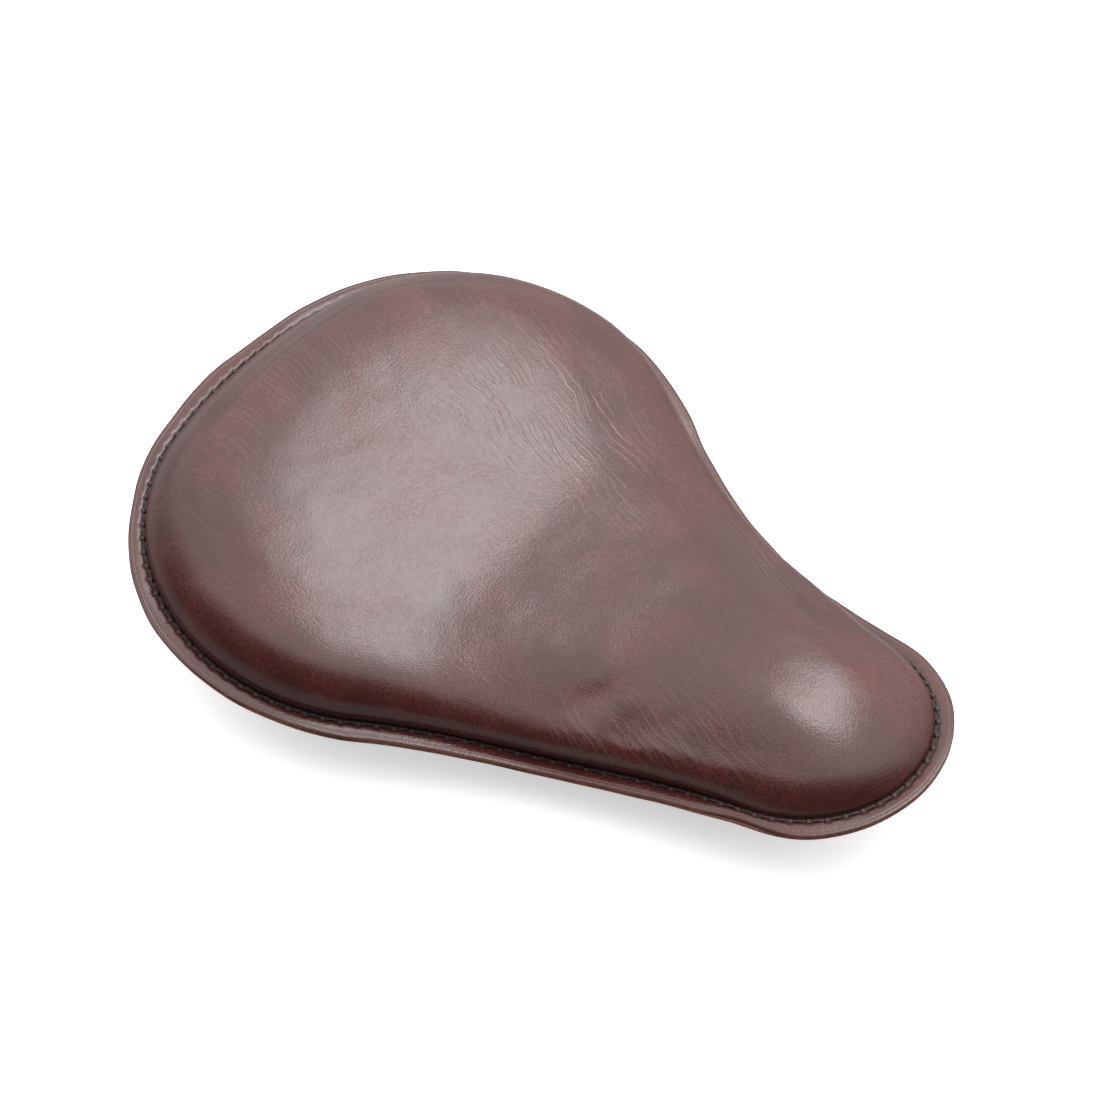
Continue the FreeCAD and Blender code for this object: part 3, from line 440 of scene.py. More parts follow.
def make_crease_group():
    """Stretch creases: thin winding ridges that run one way, meet in forks, and fade in and out."""
    inputs = {"Turn": 0.0, "Spacing": 3.0 * MM, "Reach": 20.0 * MM, "Width": 0.14}
    tree, given, result = shader_group("stretch_creases", inputs, "Height")
    turned = {"Vector": given["Vector"], "Angle": times(tree, given["Turn"], -1.0)}
    turned = node(tree, "ShaderNodeVectorRotate", turned, rotation_type="Z_AXIS").outputs[0]
    across = node(tree, "ShaderNodeSeparateXYZ", {0: turned}).outputs["Y"]
    along = maths(tree, "DIVIDE", 1.0, given["Reach"])
    sideways = maths(tree, "DIVIDE", 0.3, given["Spacing"])
    stretch = node(tree, "ShaderNodeCombineXYZ", {"X": along, "Y": sideways, "Z": along}).outputs[0]
    laid = vector_maths(tree, "MULTIPLY", turned, stretch)
    ridges = 0.0
    for number, ratio in enumerate((1.0, 1.37)):
        moved = vector_maths(tree, "ADD", turned, (0.31 * number, 0.17, 0))
        drift = times_plus(tree, clouds(tree, moved, 30.0, 1.0), 18 * MM, across)
        drift = times_plus(tree, clouds(tree, moved, 130.0, 2.0), 2.6 * MM, drift)
        phase = maths(tree, "DIVIDE", drift, times(tree, given["Spacing"], ratio))
        away = off_by(tree, maths(tree, "FRACT", phase), 0.5)
        ridge = window(tree, away, 0.0, given["Width"], 1.0, 0.0)
        patch = clouds(tree, vector_maths(tree, "ADD", laid, (5.0 * number, 9.0, 0)), 1.0, 1.0)
        ridge = times(tree, ridge, window(tree, patch, 0.42, 0.62))
        ridges = maths(tree, "MAXIMUM", ridge, ridges)
    tree.links.new(ridges, result["Height"])
    return tree


def make_mottle_group():
    """Cloudy colour of waxed leather: broad clouds, middling blotches and fine flecks."""
    tree, given, result = shader_group("wax_mottle", {}, "Clouds", "Flecks")
    place = given["Vector"]
    broad = times(tree, clouds(tree, place, 16.0, 4.0), 0.6)
    cloudy = times_plus(tree, clouds(tree, place, 75.0, 5.0), 0.4, broad)
    tree.links.new(window(tree, cloudy, 0.36, 0.64), result["Clouds"])
    tree.links.new(window(tree, clouds(tree, place, 420.0, 3.0), 0.3, 0.7), result["Flecks"])
    return tree


def make_wear_group():
    """Handling wear on metal and paint: soft clouds, fine scratches and a surface tooth."""
    tree, given, result = shader_group("handling_wear", {"Scale": 1.0}, "Clouds", "Scratches", "Tooth")
    place, scale = given["Vector"], given["Scale"]
    drawn = vector_maths(tree, "MULTIPLY", place, (1.0, 14.0, 14.0))
    lines = clouds(tree, drawn, times(tree, scale, 160.0), 2.0)
    tree.links.new(clouds(tree, place, times(tree, scale, 40.0), 4.0), result["Clouds"])
    tree.links.new(window(tree, lines, 0.62, 0.75), result["Scratches"])
    tree.links.new(clouds(tree, place, times(tree, scale, 1500.0), 2.0), result["Tooth"])
    return tree


PEBBLE = make_pebble_group()
CREASES = make_crease_group()
MOTTLE = make_mottle_group()
WEAR = make_wear_group()


# ---------------------------------------------------------------- materials
def principled(name, **uniform):
    """A material with a bare shader; uniform values go straight on its own sockets."""
    material = bpy.data.materials.new(name)
    material.use_nodes = True
    tree = material.node_tree
    surface = tree.nodes["Principled BSDF"]
    for key, value in uniform.items():
        surface.inputs[key.replace("_", " ")].default_value = value
    return material, tree, surface.inputs


def raise_surface(tree, surface, height, depth=1 * MM):
    """Bump relief: the height, where 1 stands for the depth."""
    raised = node(tree, "ShaderNodeBump", {"Height": height, "Distance": depth}).outputs[0]
    tree.links.new(raised, surface["Normal"])


# the first colour is painted shade for the pits between the grain's domes
LEATHER_PIT_SHADE = (0.022, 0.0045, 0.0040, 1)
LEATHER_DARK = (0.057, 0.0142, 0.0120, 1)
LEATHER_MID = (0.078, 0.0190, 0.0154, 1)
LEATHER_RED = (0.110, 0.0250, 0.0175, 1)
RAW_EDGE = (0.30, 0.105, 0.060, 1)
RAW_EDGE_DARK = (0.075, 0.022, 0.014, 1)
# near-black painted shade for the corner under the wall, the seam's groove and the needle holes
PAINTED_SHADE_BLACK = (0.004, 0.003, 0.003, 1)
# pale wax where the leather is drawn, and painted highlight on the crease ridges and the scored line
PALE_WAX_AND_HIGHLIGHT = (0.150, 0.095, 0.080, 1)


# Where the leather is creased: mask name, turn in degrees, spacing and reach in mm, line width and depth.
CREASE_ZONES = (
    ("creased_rear", -20.0, 2.9, 24.0, 0.17, 1.0),
    ("creased_far", -21.0, 2.0, 20.0, 0.2, 0.7),
    ("creased_near", -16.0, 2.2, 20.0, 0.2, 0.5),
    ("creased_left", -8.0, 2.3, 18.0, 0.2, 0.5),
)


def leather_colour(tree, place):
    """Waxed brown with redder clouds, and pale flecks of dry wax."""
    mottle = use(tree, MOTTLE, Vector=place)
    brown = blend(tree, mottle["Clouds"], LEATHER_DARK, LEATHER_MID)
    wide = clouds(tree, place, 24.0, 3.0)
    redder = times(tree, window(tree, wide, 0.45, 0.7), 0.4)
    brown = blend(tree, redder, brown, LEATHER_RED)
    flecked = times(tree, mottle["Flecks"], 0.22)
    return blend(tree, flecked, brown, LEATHER_RED), mottle


def raw_edge_colour(tree, place):
    """Cut leather: tan fibres, burnished darker in streaks along the cut."""
    fibres = clouds(tree, place, 700.0, 4.0)
    streaks = clouds(tree, place, 60.0, 3.0)
    burnished = times_plus(tree, fibres, 0.5, times(tree, streaks, 0.6))
    return blend(tree, window(tree, burnished, 0.38, 0.72), RAW_EDGE_DARK, RAW_EDGE)


def make_cover_leather():
    """The top leather, with needle holes along the seam and creases where it was drawn over the foam."""
    material, tree, surface = principled("cover_leather", IOR=1.5)
    place = object_coordinates(tree)
    colour, mottle = leather_colour(tree, place)
    turn, inset = lay_of(tree)

    creases = 0.0
    for name, angle, spacing, reach, width, depth in CREASE_ZONES:
        lines = dict(Turn=math.radians(angle), Spacing=spacing * MM, Reach=reach * MM, Width=width)
        lines = times(tree, use(tree, CREASES, Vector=place, **lines)["Height"], mask(tree, name))
        creases = times_plus(tree, lines, depth, creases)

    stitch = maths(tree, "FRACT", times_plus(tree, turn, float(STITCHES), 0.5))
    along = times(tree, maths(tree, "SUBTRACT", stitch, 0.5), STITCH_PITCH)
    across = maths(tree, "SUBTRACT", inset, SEAM)
    squared = [maths(tree, "POWER", side, 2.0) for side in (along, across)]
    from_hole = maths(tree, "SQRT", maths(tree, "ADD", *squared))

    def fading(distance, full, gone, strength=1.0):
        return window(tree, distance, full * MM, gone * MM, strength, 0.0)

    # the needle holes are sunk in the bump and painted near-black as painted shade
    hole = fading(from_hole, 0.7, 1.2)
    pucker = fading(from_hole, 0.9, 2.9)
    groove = fading(off_by(tree, inset, SEAM), 0.2, 1.3)
    corner = fading(off_by(tree, inset, CREASE), 0.1, 0.9)
    scored = fading(off_by(tree, inset, SCORED_LINE), 0.1, 0.4)
    dull = fading(off_by(tree, inset, CREASE + 0.3 * MM), 0.5, 2.4, 0.45)
    # painted shade: near-black in the corner where the wall meets the flange, and a little in the seam's
    # groove
    crease_and_groove_shade = maths(tree, "MAXIMUM", times(tree, groove, 0.12), times(tree, corner, 0.8))
    cut = fading(inset, -0.15, 0.25)

    grain = use(tree, PEBBLE, Vector=place, Cells=1150.0)["Height"]
    patch = clouds(tree, place, 35.0, 2.0)
    grain = times(tree, grain, window(tree, patch, 0.25, 0.75, 0.55, 1.1))
    for share, paint in (
        # painted shade in the grain's pits
        (window(tree, grain, 0.35, 0.95, 0.6, 0.0), LEATHER_PIT_SHADE),
        # pale wax and painted highlight along the crease ridges
        (times(tree, creases, 0.55), PALE_WAX_AND_HIGHLIGHT),
        # painted highlight along the scored line
        (times(tree, scored, 0.3), PALE_WAX_AND_HIGHLIGHT),
        (crease_and_groove_shade, PAINTED_SHADE_BLACK),
        (hole, PAINTED_SHADE_BLACK),
        (cut, raw_edge_colour(tree, place)),
    ):
        colour = blend(tree, share, colour, paint)
    tree.links.new(colour, surface["Base Color"])

    rough = times_plus(tree, mottle["Clouds"], 0.04, 0.21)
    rough = maths(tree, "ADD", times_plus(tree, cut, 0.35, rough), dull)
    tree.links.new(times_plus(tree, mottle["Flecks"], 0.05, rough), surface["Roughness"])
    height = times(tree, grain, 0.045)
    for form, relief in ((creases, 0.065), (scored, -0.06), (groove, -0.15), (hole, -0.7), (pucker, -0.16)):
        height = times_plus(tree, form, relief, height)
    raise_surface(tree, surface, height)
    return material


def make_welt_leather():
    """The lower layer: grain side down, its outer cut tan and its inner cut rough."""
    material, tree, surface = principled("welt_leather", IOR=1.5)
    place = object_coordinates(tree)
    colour, mottle = leather_colour(tree, place)
    _, inset = lay_of(tree)
    cut = window(tree, inset, -0.15 * MM, 0.3 * MM, 1.0, 0.0)
    colour = blend(tree, cut, colour, raw_edge_colour(tree, place))
    tree.links.new(colour, surface["Base Color"])
    tree.links.new(times_plus(tree, mottle["Clouds"], 0.12, 0.48), surface["Roughness"])
    grain = use(tree, PEBBLE, Vector=place, Cells=800.0)["Height"]
    raise_surface(tree, surface, times(tree, grain, 0.06))
    return material


def make_thread(name, dark, pale):
    """Waxed thread: plies wound slantwise round it."""
    material, tree, surface = principled(name, IOR=1.5)
    place = object_coordinates(tree)
    tone = clouds(tree, place, 500.0, 2.0)
    tree.links.new(blend(tree, tone, dark, pale), surface["Base Color"])
    tree.links.new(window(tree, tone, 0.3, 0.7, 0.38, 0.6), surface["Roughness"])
    slant = node(tree, "ShaderNodeVectorRotate", {"Vector": place, "Angle": 0.7}, rotation_type="Z_AXIS")
    plies = node(tree, "ShaderNodeTexWave", {"Vector": slant.outputs[0], "Scale": 900.0}).outputs["Fac"]
    raise_surface(tree, surface, plies, 0.06 * MM)
    return material


def make_metal(name, bright, dull, roughness, metallic=1.0, scale=1.0, tooth=0.004, coat=0.0):
    """Plated or painted metal with cloudy tone, fine scratches and surface tooth."""
    material, tree, surface = principled(name, Metallic=metallic, Coat_Weight=coat)
    wear = use(tree, WEAR, Vector=object_coordinates(tree), Scale=scale)
    colour = blend(tree, window(tree, wear["Clouds"], 0.35, 0.65), dull, bright)
    worn = times(tree, wear["Scratches"], 0.35)
    tree.links.new(blend(tree, worn, colour, bright), surface["Base Color"])
    rough = window(tree, wear["Clouds"], 0.3, 0.7, roughness + 0.1, roughness - 0.04)
    tree.links.new(times_plus(tree, wear["Scratches"], 0.1, rough), surface["Roughness"])
    height = times(tree, wear["Tooth"], tooth)
    height = times_plus(tree, wear["Scratches"], -0.01, height)
    raise_surface(tree, surface, height)
    return material


def make_foam(name, light, dark, cells):
    """Open or closed cell foam: small round pits."""
    material, tree, surface = principled(name, IOR=1.4)
    place = object_coordinates(tree)
    pits = node(tree, "ShaderNodeTexVoronoi", {"Vector": place, "Scale": cells}).outputs["Distance"]
    # the pits are painted darker than the cell walls: painted shade in the cells
    tree.links.new(blend(tree, window(tree, pits, 0.1, 0.5), dark, light), surface["Base Color"])
    tree.links.new(window(tree, pits, 0.0, 0.6, 0.8, 0.95), surface["Roughness"])
    raise_surface(tree, surface, pits, 0.4 * MM)
    return material


def make_nylon():
    """Natural nylon, a little cloudy, with faint turning lines."""
    material, tree, surface = principled("bush_nylon", IOR=1.53, Subsurface_Weight=0.1)
    wear = use(tree, WEAR, Vector=object_coordinates(tree), Scale=2.0)
    colour = blend(tree, wear["Clouds"], (0.60, 0.56, 0.47, 1), (0.76, 0.73, 0.65, 1))
    tree.links.new(colour, surface["Base Color"])
    tree.links.new(window(tree, wear["Clouds"], 0.3, 0.7, 0.45, 0.35), surface["Roughness"])
    raise_surface(tree, surface, wear["Tooth"], 0.02 * MM)
    return material


# ---------------------------------------------------------------- the cushion's form
def crown_line():
    """Height of the crown's middle line, added up from its slopes."""
    places = np.arange(-145, 146) * MM
    slopes = np.array(CROWN_SLOPES)
    rise = np.tan(np.radians(np.interp(places, slopes[:, 0] * MM, slopes[:, 1])))
    heights = np.concatenate([[0], np.cumsum((rise[1:] + rise[:-1]) / 2) * MM])
    return places, heights - np.interp(DIP_X, places, heights) + RIDE_HEIGHT + CROWN_HEIGHT


def crown(plan):
    """Top of the cushion over any point on plan: the middle line, falling off towards the edge."""
    middle = np.column_stack([np.clip(plan[:, 0], SPINE_REAR, SPINE_NOSE), np.zeros(len(plan))])
    reach = np.minimum(CROWN_REACH, from_outline(middle))
    narrow = (1 - reach / CROWN_REACH) ** 2
    fall = np.clip(1 - from_outline(plan) / reach, 0, 1) ** 2
    return np.interp(plan[:, 0], *crown_line()) - CROWN_FALL * (narrow + (1 - narrow) * fall)


def wall_sections():
    """Inset and height of the wall's points at every station, eased from one section to the next."""
    numbers = np.arange(STATIONS)
    share = np.minimum(numbers, STATIONS - numbers) / (STATIONS / 2)
    keys = [key for key, _ in WALL_SECTIONS]
    table = np.array([section for _, section in WALL_SECTIONS]) * MM
    columns = table.transpose(1, 2, 0)
    knots = np.array([[np.interp(share, keys, column) for column in pair] for pair in columns])
    for _ in range(SECTION_PASSES):
        knots = (np.roll(knots, 1, axis=2) + 2 * knots + np.roll(knots, -1, axis=2)) / 4
    knots = [(inset, height) for inset, height in knots]
    for inset in TOP_INSETS:
        plan = OUTLINE - OUTWARD * inset
        knots.append((np.full(STATIONS, inset), crown(plan) - profile(plan[:, 0], 0)))
    return np.array(knots)


def curve_through(knots, places):
    """A smooth curve through the knots, read at places counted in knots."""
    ends = np.concatenate([[2 * knots[0] - knots[1]], knots, [2 * knots[-1] - knots[-2]]])
    found = []
    for place in places:
        number = min(int(place), len(knots) - 2)
        t = place - number
        before, start, end, after = ends[number : number + 4]
        bend = 2 * before - 5 * start + 4 * end - after
        twist = -before + 3 * start - 3 * end + after
        found.append((2 * start + (end - before) * t + bend * t**2 + twist * t**3) / 2)
    return found


def ease_shoulder(rings):
    """Even out the heights where the wall's section meets the crown, so no ridge shows there."""
    stack = np.array(rings)
    apart = np.linalg.norm(np.diff(stack, axis=0), axis=2)
    heights = stack[:, :, 2]
    numbers = np.arange(len(rings))
    share = (smooth(numbers, 12, 16) * (1 - smooth(numbers, 18, 21)))[1:-1, None]
    for _ in range(SHOULDER_PASSES):
        rise = np.diff(heights, axis=0) / apart
        heights[1:-1] += share * np.diff(rise, axis=0) * 2 / (apart[1:] + apart[:-1]) * SHOULDER_PASS
    return list(stack)


def cushion_rings():
    """Rings from the crease up the wall and over the shoulder, then in to the centre line."""
    rings, insets = [], []
    knots = wall_sections()
    for inset, height in curve_through(knots, np.linspace(0, len(knots) - 1, WALL_RINGS)):
        rings.append(ring(inset, height))
        climbed = np.linalg.norm(rings[-1] - rings[-2], axis=1).mean() if insets else CREASE
        insets.append(float(climbed) + (insets[-1] if insets else 0))
    outer = OUTLINE - OUTWARD * INNERMOST
    share = (outer[:, 0] - outer[:, 0].min()) / np.ptp(outer[:, 0])
    spine = np.column_stack([SPINE_REAR + (SPINE_NOSE - SPINE_REAR) * share, np.zeros(STATIONS)])
    for step in np.linspace(0, 1, CROWN_RINGS + 1)[1:]:
        plan = outer + (spine - outer) * step
        rings.append(np.column_stack([plan, crown(plan)]))
        insets.append(insets[WALL_RINGS - 1] + step * CROWN_LAY)
    return ease_shoulder(rings), insets


def swell(rings, insets):
    """Cloth under pressure, held at the crease: the leather fills out over the foam."""
    held_low = 1.2 * MM
    cap = 2.5 * MM
    share = 0.3
    start = [points.copy() for points in rings]
    for number, points in enumerate(start[1:], start=1):
        points[:, 2] -= held_low * min(number / 6, 1)
    cloth_piece = shell("swelling", start[::-1], insets[::-1], (True, False))
    mesh = cloth_piece.data
    before = read_points(mesh)
    held = cloth_piece.vertex_groups.new(name="held")
    held.add(list(range(len(mesh.vertices) - STATIONS, len(mesh.vertices))), 1.0, "REPLACE")
    cloth = cloth_piece.modifiers.new("cloth", "CLOTH")
    cloth.settings.vertex_group_mass = "held"
    cloth.settings.quality = 6
    cloth.settings.mass = 0.4
    cloth.settings.tension_stiffness = 30
    cloth.settings.compression_stiffness = 30
    cloth.settings.shear_stiffness = 12
    cloth.settings.bending_stiffness = 6
    cloth.settings.use_pressure = True
    cloth.settings.uniform_pressure_force = 4
    cloth.settings.effector_weights.gravity = 0
    scene = bpy.context.scene
    for number in range(1, CLOTH_FRAMES + 1):
        scene.frame_set(number)
    graph = bpy.context.evaluated_depsgraph_get()
    swollen = read_points(cloth_piece.evaluated_get(graph).data)
    scene.frame_set(1)
    moved = swollen - before
    size = np.linalg.norm(moved, axis=1, keepdims=True)
    moved *= share * np.minimum(1, cap / np.maximum(size, 1e-9))
    bpy.data.objects.remove(cloth_piece)
    half = STATIONS // 2 + 1
    spine = moved[:half]
    spine = np.vstack([spine, spine[-2:0:-1]])
    field = np.concatenate([[spine], moved[half:].reshape(-1, STATIONS, 3)])[::-1]
    for _ in range(EASING):
        field = (np.roll(field, 1, axis=1) + 2 * field + np.roll(field, -1, axis=1)) / 4
        field[1:-1] = (field[:-2] + 2 * field[1:-1] + field[2:]) / 4
    field[-1, :, 1] = 0
    return [points + shift_by for points, shift_by in zip(start, field)]


def ring_normals(rings):
    """Outward normals of a stack of rings, from differences along and across it."""
    stack = np.array(rings)
    round_way = np.roll(stack, -1, axis=1) - np.roll(stack, 1, axis=1)
    inward = np.gradient(stack, axis=0)
    normals = np.cross(round_way, inward)
    normals[-1] = (0, 0, 1)
    return normals / np.maximum(np.linalg.norm(normals, axis=2, keepdims=True), 1e-12)


def make_top_cover(cushion, insets):
    """One closed skin of leather: crown, wall, turned-out flange, its cut edge and the inside."""
    trim = edge_trim()
    flange = (
        (CREASE - 0.7 * MM, FLANGE_TOP - 0.40 * MM),
        (SEAM, FLANGE_TOP - 0.34 * MM),
        (SEAM - 1.2 * MM, FLANGE_TOP - 0.06 * MM),
        (SEAM - 2.2 * MM, FLANGE_TOP + 0.04 * MM),
        (2.6 * MM, FLANGE_TOP),
        (1.5 * MM, FLANGE_TOP - 0.16 * MM),
        (0.55 * MM, FLANGE_TOP - 0.26 * MM),
        (0.14 * MM, FLANGE_TOP - 0.42 * MM),
        (0.0 * MM, FLANGE_TOP - 0.7 * MM),
        (0.02 * MM, WELT + 0.6 * MM),
        (0.15 * MM, WELT + 0.22 * MM),
        (0.5 * MM, WELT + 0.03 * MM),
        (2.0 * MM, WELT + 0.02 * MM),
        (CREASE + LEATHER, WELT + 0.05 * MM),
    )
    outer_lay = {8: 0.0, 9: -0.5 * MM, 10: -1.0 * MM, 11: -1.5 * MM, 12: -3 * MM, 13: -9 * MM}
    rings, lays = list(cushion[::-1]), list(insets[::-1])
    for number, (inset, height) in enumerate(flange):
        share = 1 - smooth(inset, 0, SEAM)
        rings.append(ring(inset + trim * share, height))
        lays.append(outer_lay.get(number, inset))
    inside = np.array(cushion) - ring_normals(cushion) * LEATHER
    last = len(cushion) - 1
    for number in (*range(2, WALL_RINGS, 3), *range(WALL_RINGS, last, 3), last):
        rings.append(inside[number])
        lays.append(-10 * MM - insets[number])
    return subdivide(shell("top_cover_leather", rings, lays))


def gaussian(points, x, y, across_x, across_y, turn):
    """A soft round patch on plan, in millimetres, turned by an angle in degrees."""
    angle = math.radians(turn)
    dx, dy = points[:, 0] - x * MM, points[:, 1] - y * MM
    along = dx * math.cos(angle) + dy * math.sin(angle)
    aside = dy * math.cos(angle) - dx * math.sin(angle)
    return np.exp(-((along / (across_x * MM)) ** 2) - (aside / (across_y * MM)) ** 2)


def noise_at(points, scale):
    return np.array([noise.fractal(Vector(p) * scale, 1.0, 2.0, 2) for p in points])


def work_leather(cover):
    """Hollows, the foam's edge showing through and slow waves, moved along the leather's normals."""
    mesh = cover.data
    points, normals = read_points(mesh), read_normals(mesh)
    from_edge = read_attribute(mesh, "from_edge")
    on_pad = smooth(from_edge, CREASE + 1 * MM, CREASE + 12 * MM)
    lift = 0.35 * noise_at(points, 22.0) * on_pad
    lift += 0.12 * noise_at(points + 3.0, 75.0) * on_pad
    foam_edge = np.exp(-(((from_edge - 31 * MM) / (4.5 * MM)) ** 2)) * smooth(-points[:, 0], 0, 60 * MM)
    lift += 0.12 * foam_edge
    for height, *place in HOLLOWS:
        lift += height * gaussian(points, *place) * on_pad
    near_wall = smooth(-points[:, 1], 20 * MM, 40 * MM) * gaussian(points, 75, -52, 50, 22, 8)
    drawn = np.column_stack([points[:, 0] * 60, points[:, 1] * 190, points[:, 2] * 190])
    folds = np.array([1 - abs(noise.noise(Vector(p))) * 2.4 for p in drawn])
    lift += 0.22 * np.maximum(folds, 0) ** 2 * near_wall * on_pad
    write_points(mesh, points + normals * lift[:, None] * MM)
    masks = {
        "creased_rear": ((1.3, -32, 46, 44, 27, -24), (0.4, -80, 45, 60, 45, -25)),
        "creased_far": ((1.0, 62, 50, 40, 10, -20),),
        "creased_near": ((1.0, 92, -40, 34, 13, 5), (1.0, 45, -60, 40, 10, 12)),
        "creased_left": ((1.0, -128, -20, 14, 45, 0), (0.5, -110, -80, 30, 18, -40)),
    }
    for name, patches in masks.items():
        values = sum(strength * gaussian(points, *patch) for strength, *patch in patches)
        write_attribute(mesh, name, np.clip(values, 0, 1) * on_pad)


# ---------------------------------------------------------------- leather edge, foam and stitches
def make_edge_layer():
    """Lower leather layer: a flat ring, its outer cut rounded by burnishing."""
    trim = edge_trim() * 0.6 + 0.12 * MM
    section = (
        (WELT_WIDTH, WELT - 0.02 * MM, 26),
        (WELT_WIDTH - 0.4 * MM, WELT - 0.02 * MM, 25),
        (16 * MM, WELT - 0.02 * MM, 16),
        (8 * MM, WELT - 0.02 * MM, 8),
        (1.0 * MM, WELT - 0.03 * MM, 1),
        (0.35 * MM, WELT - 0.12 * MM, 0.1),
        (0.05 * MM, WELT - 0.4 * MM, -0.4),
        (0.0 * MM, WELT / 2, -0.8),
        (0.05 * MM, 0.4 * MM, -0.5),
        (0.35 * MM, 0.1 * MM, 0.0),
        (1.0 * MM, 0.01 * MM, 0.8),
        (3.0 * MM, 0.0, 3),
        (SEAM, 0.25 * MM, 6),
        (9 * MM, 0.0, 9),
        (16 * MM, 0.0, 16),
        (WELT_WIDTH - 0.5 * MM, 0.0, 25),
        (WELT_WIDTH, 0.15 * MM, -0.3),
        (WELT_WIDTH + 0.05 * MM, WELT / 2, -0.6),
    )
    rings, lays = [], []
    for inset, height, lay in section + section[:1]:
        share = 1 - smooth(inset, 0, SEAM)
        rings.append(ring(inset + trim * share, height))
        lays.append(lay * MM)
    made = shell("edge_layer_leather", rings, lays, (False, False))
    return subdivide(weld_seam(made))


def weld_seam(made):
    """Joins points that lie on each other, where a closed section meets itself."""
    modifier = made.modifiers.new("weld", "WELD")
    modifier.merge_threshold = 0.001 * MM
    return settle(made)


def lining(cushion, gap):
    """The inside of the cover: insets and heights at every station, for each ring of the cushion."""
    inside = np.array(cushion) - ring_normals(cushion) * (LEATHER + gap)
    insets = ((OUTLINE - inside[:, :, :2]) * OUTWARD).sum(axis=2)
    heights = inside[:, :, 2] - profile(inside[:, :, 0], 0)
    return inside, insets, np.maximum.accumulate(heights, axis=0)


def lining_inset(insets, heights, height):
    """How far in the cover's inside is at a height, at every station."""
    wall = slice(WALL_FOOT, WALL_RINGS)
    height = np.broadcast_to(height, STATIONS)
    return np.array([np.interp(height[k], heights[wall, k], insets[wall, k]) for k in range(STATIONS)])


def make_foam_top(cushion):
    """Soft foam under the cover: the cover's form less the leather, flat where it meets the base foam."""
    gap, base, lip = 0.3 * MM, 18.4 * MM, 0.5 * MM
    inside, insets, heights = lining(cushion, gap)
    rings = [inside[number] for number in range(len(cushion) - 1, 19, -1)]
    for step, number in enumerate(range(19, 9, -1)):
        height = np.maximum(heights[number], base + lip + (10 - step) * 0.02 * MM)
        inset = lining_inset(insets, heights, height)
        plan = OUTLINE - OUTWARD * inset[:, None]
        rings.append(np.column_stack([plan, profile(plan[:, 0], 0) + height]))
    foot = lining_inset(insets, heights, base + lip / 2)
    rings.append(ring(foot, base + lip / 2))
    for inset in (foot + lip, foot + 5 * MM, INNERMOST):
        rings.append(ring(inset, base))
    spine = cushion[-1].copy()
    spine[:, 2] = profile(spine[:, 0], 0) + base
    rings.append(spine)
    return shell("foam_top_pad", rings, [0.05] * len(rings))


def make_foam_base(cushion):
    """Firm foam on the pan, with a channel under its edge for the rivet tails."""
    gap, top, bottom, channel = 0.5 * MM, 18.1 * MM, 4.35 * MM, 5.5 * MM
    edge, channel_edge = 10.6 * MM, 13 * MM
    _, insets, heights = lining(cushion, gap)
    sides = []
    upper = (top, top - 0.4 * MM, top - 1.5 * MM, 14 * MM)
    lower = (10 * MM, bottom + 1.5 * MM, bottom + 0.3 * MM, bottom)
    for height in upper + lower:
        inset = np.maximum(edge, lining_inset(insets, heights, height))
        sides.append((inset + (1.2 * MM if height in (top, bottom) else 0), height))
    rings = [ring(INNERMOST, top), ring(sides[0][0] + 6 * MM, top)]
    rings += [ring(inset, height) for inset, height in sides]
    last = sides[-1][0]
    rings.append(ring(np.maximum(last + 0.5 * MM, channel_edge), bottom))
    for inset in (np.maximum(last + 1 * MM, channel_edge + 0.6 * MM), WELT_WIDTH, INNERMOST):
        rings.append(ring(inset, channel))
    tops, bottoms = cushion[-1].copy(), cushion[-1].copy()
    tops[:, 2] = profile(tops[:, 0], 0) + top
    bottoms[:, 2] = profile(bottoms[:, 0], 0) + channel
    return shell("foam_base_pad", [tops] + rings + [bottoms], [0.05] * (len(rings) + 2))


def path_curve(name, points, cyclic=True):
    curve = bpy.data.curves.new(name, "CURVE")
    curve.dimensions = "3D"
    spline = curve.splines.new("POLY")
    spline.points.add(len(points) - 1)
    for spot, point in zip(spline.points, points):
        spot.co = (*point, 1)
    spline.use_cyclic_u = cyclic
    return put_in_scene(name, curve)


def grow(made, tree, **inputs):
    """Runs a geometry tree on an object with its named inputs set, and keeps the plain mesh."""
    modifier = made.modifiers.new(tree.name, "NODES")
    modifier.node_group = tree
    for item in tree.interface.items_tree:
        key = item.name.replace(" ", "_")
        if item.in_out == "INPUT" and key in inputs:
            modifier[item.identifier] = inputs[key]
    made = settle(made)
    made.data.shade_smooth()
    return made


def grown(tree, kind, inputs, **settings):
    """The geometry that one geometry node puts out."""
    return node(tree, "GeometryNode" + kind, inputs, **settings).outputs[0]


def stand_on_path(tree, tangent, up):
    """A rotation with X along the path and Z as near as it can be to up."""
    kind = "FunctionNodeAlignRotationToVector"
    along = node(tree, kind, {"Vector": tangent}, axis="X").outputs[0]
    return node(tree, kind, {"Rotation": along, "Vector": up}, axis="Z", pivot_axis="X").outputs[0]


def random_between(tree, low, high, seed):
    inputs = {2: low, 3: high, "Seed": seed}
    return node(tree, "FunctionNodeRandomValue", inputs, data_type="FLOAT").outputs[1]


def squashed_ball(tree, radius, scale):
    ball = grown(tree, "MeshIcoSphere", {"Radius": radius, "Subdivisions": 2})
    return grown(tree, "Transform", {"Geometry": ball, "Scale": scale})


def real_and_painted(tree, spots, piece, material, **placed):
    """A piece set at every spot, made into plain mesh with its material."""
    placed = {"Points": spots, "Instance": piece, **placed}
    real = grown(tree, "RealizeInstances", {0: grown(tree, "InstanceOnPoints", placed)})
    return grown(tree, "SetMaterial", {"Geometry": real, "Material": material})


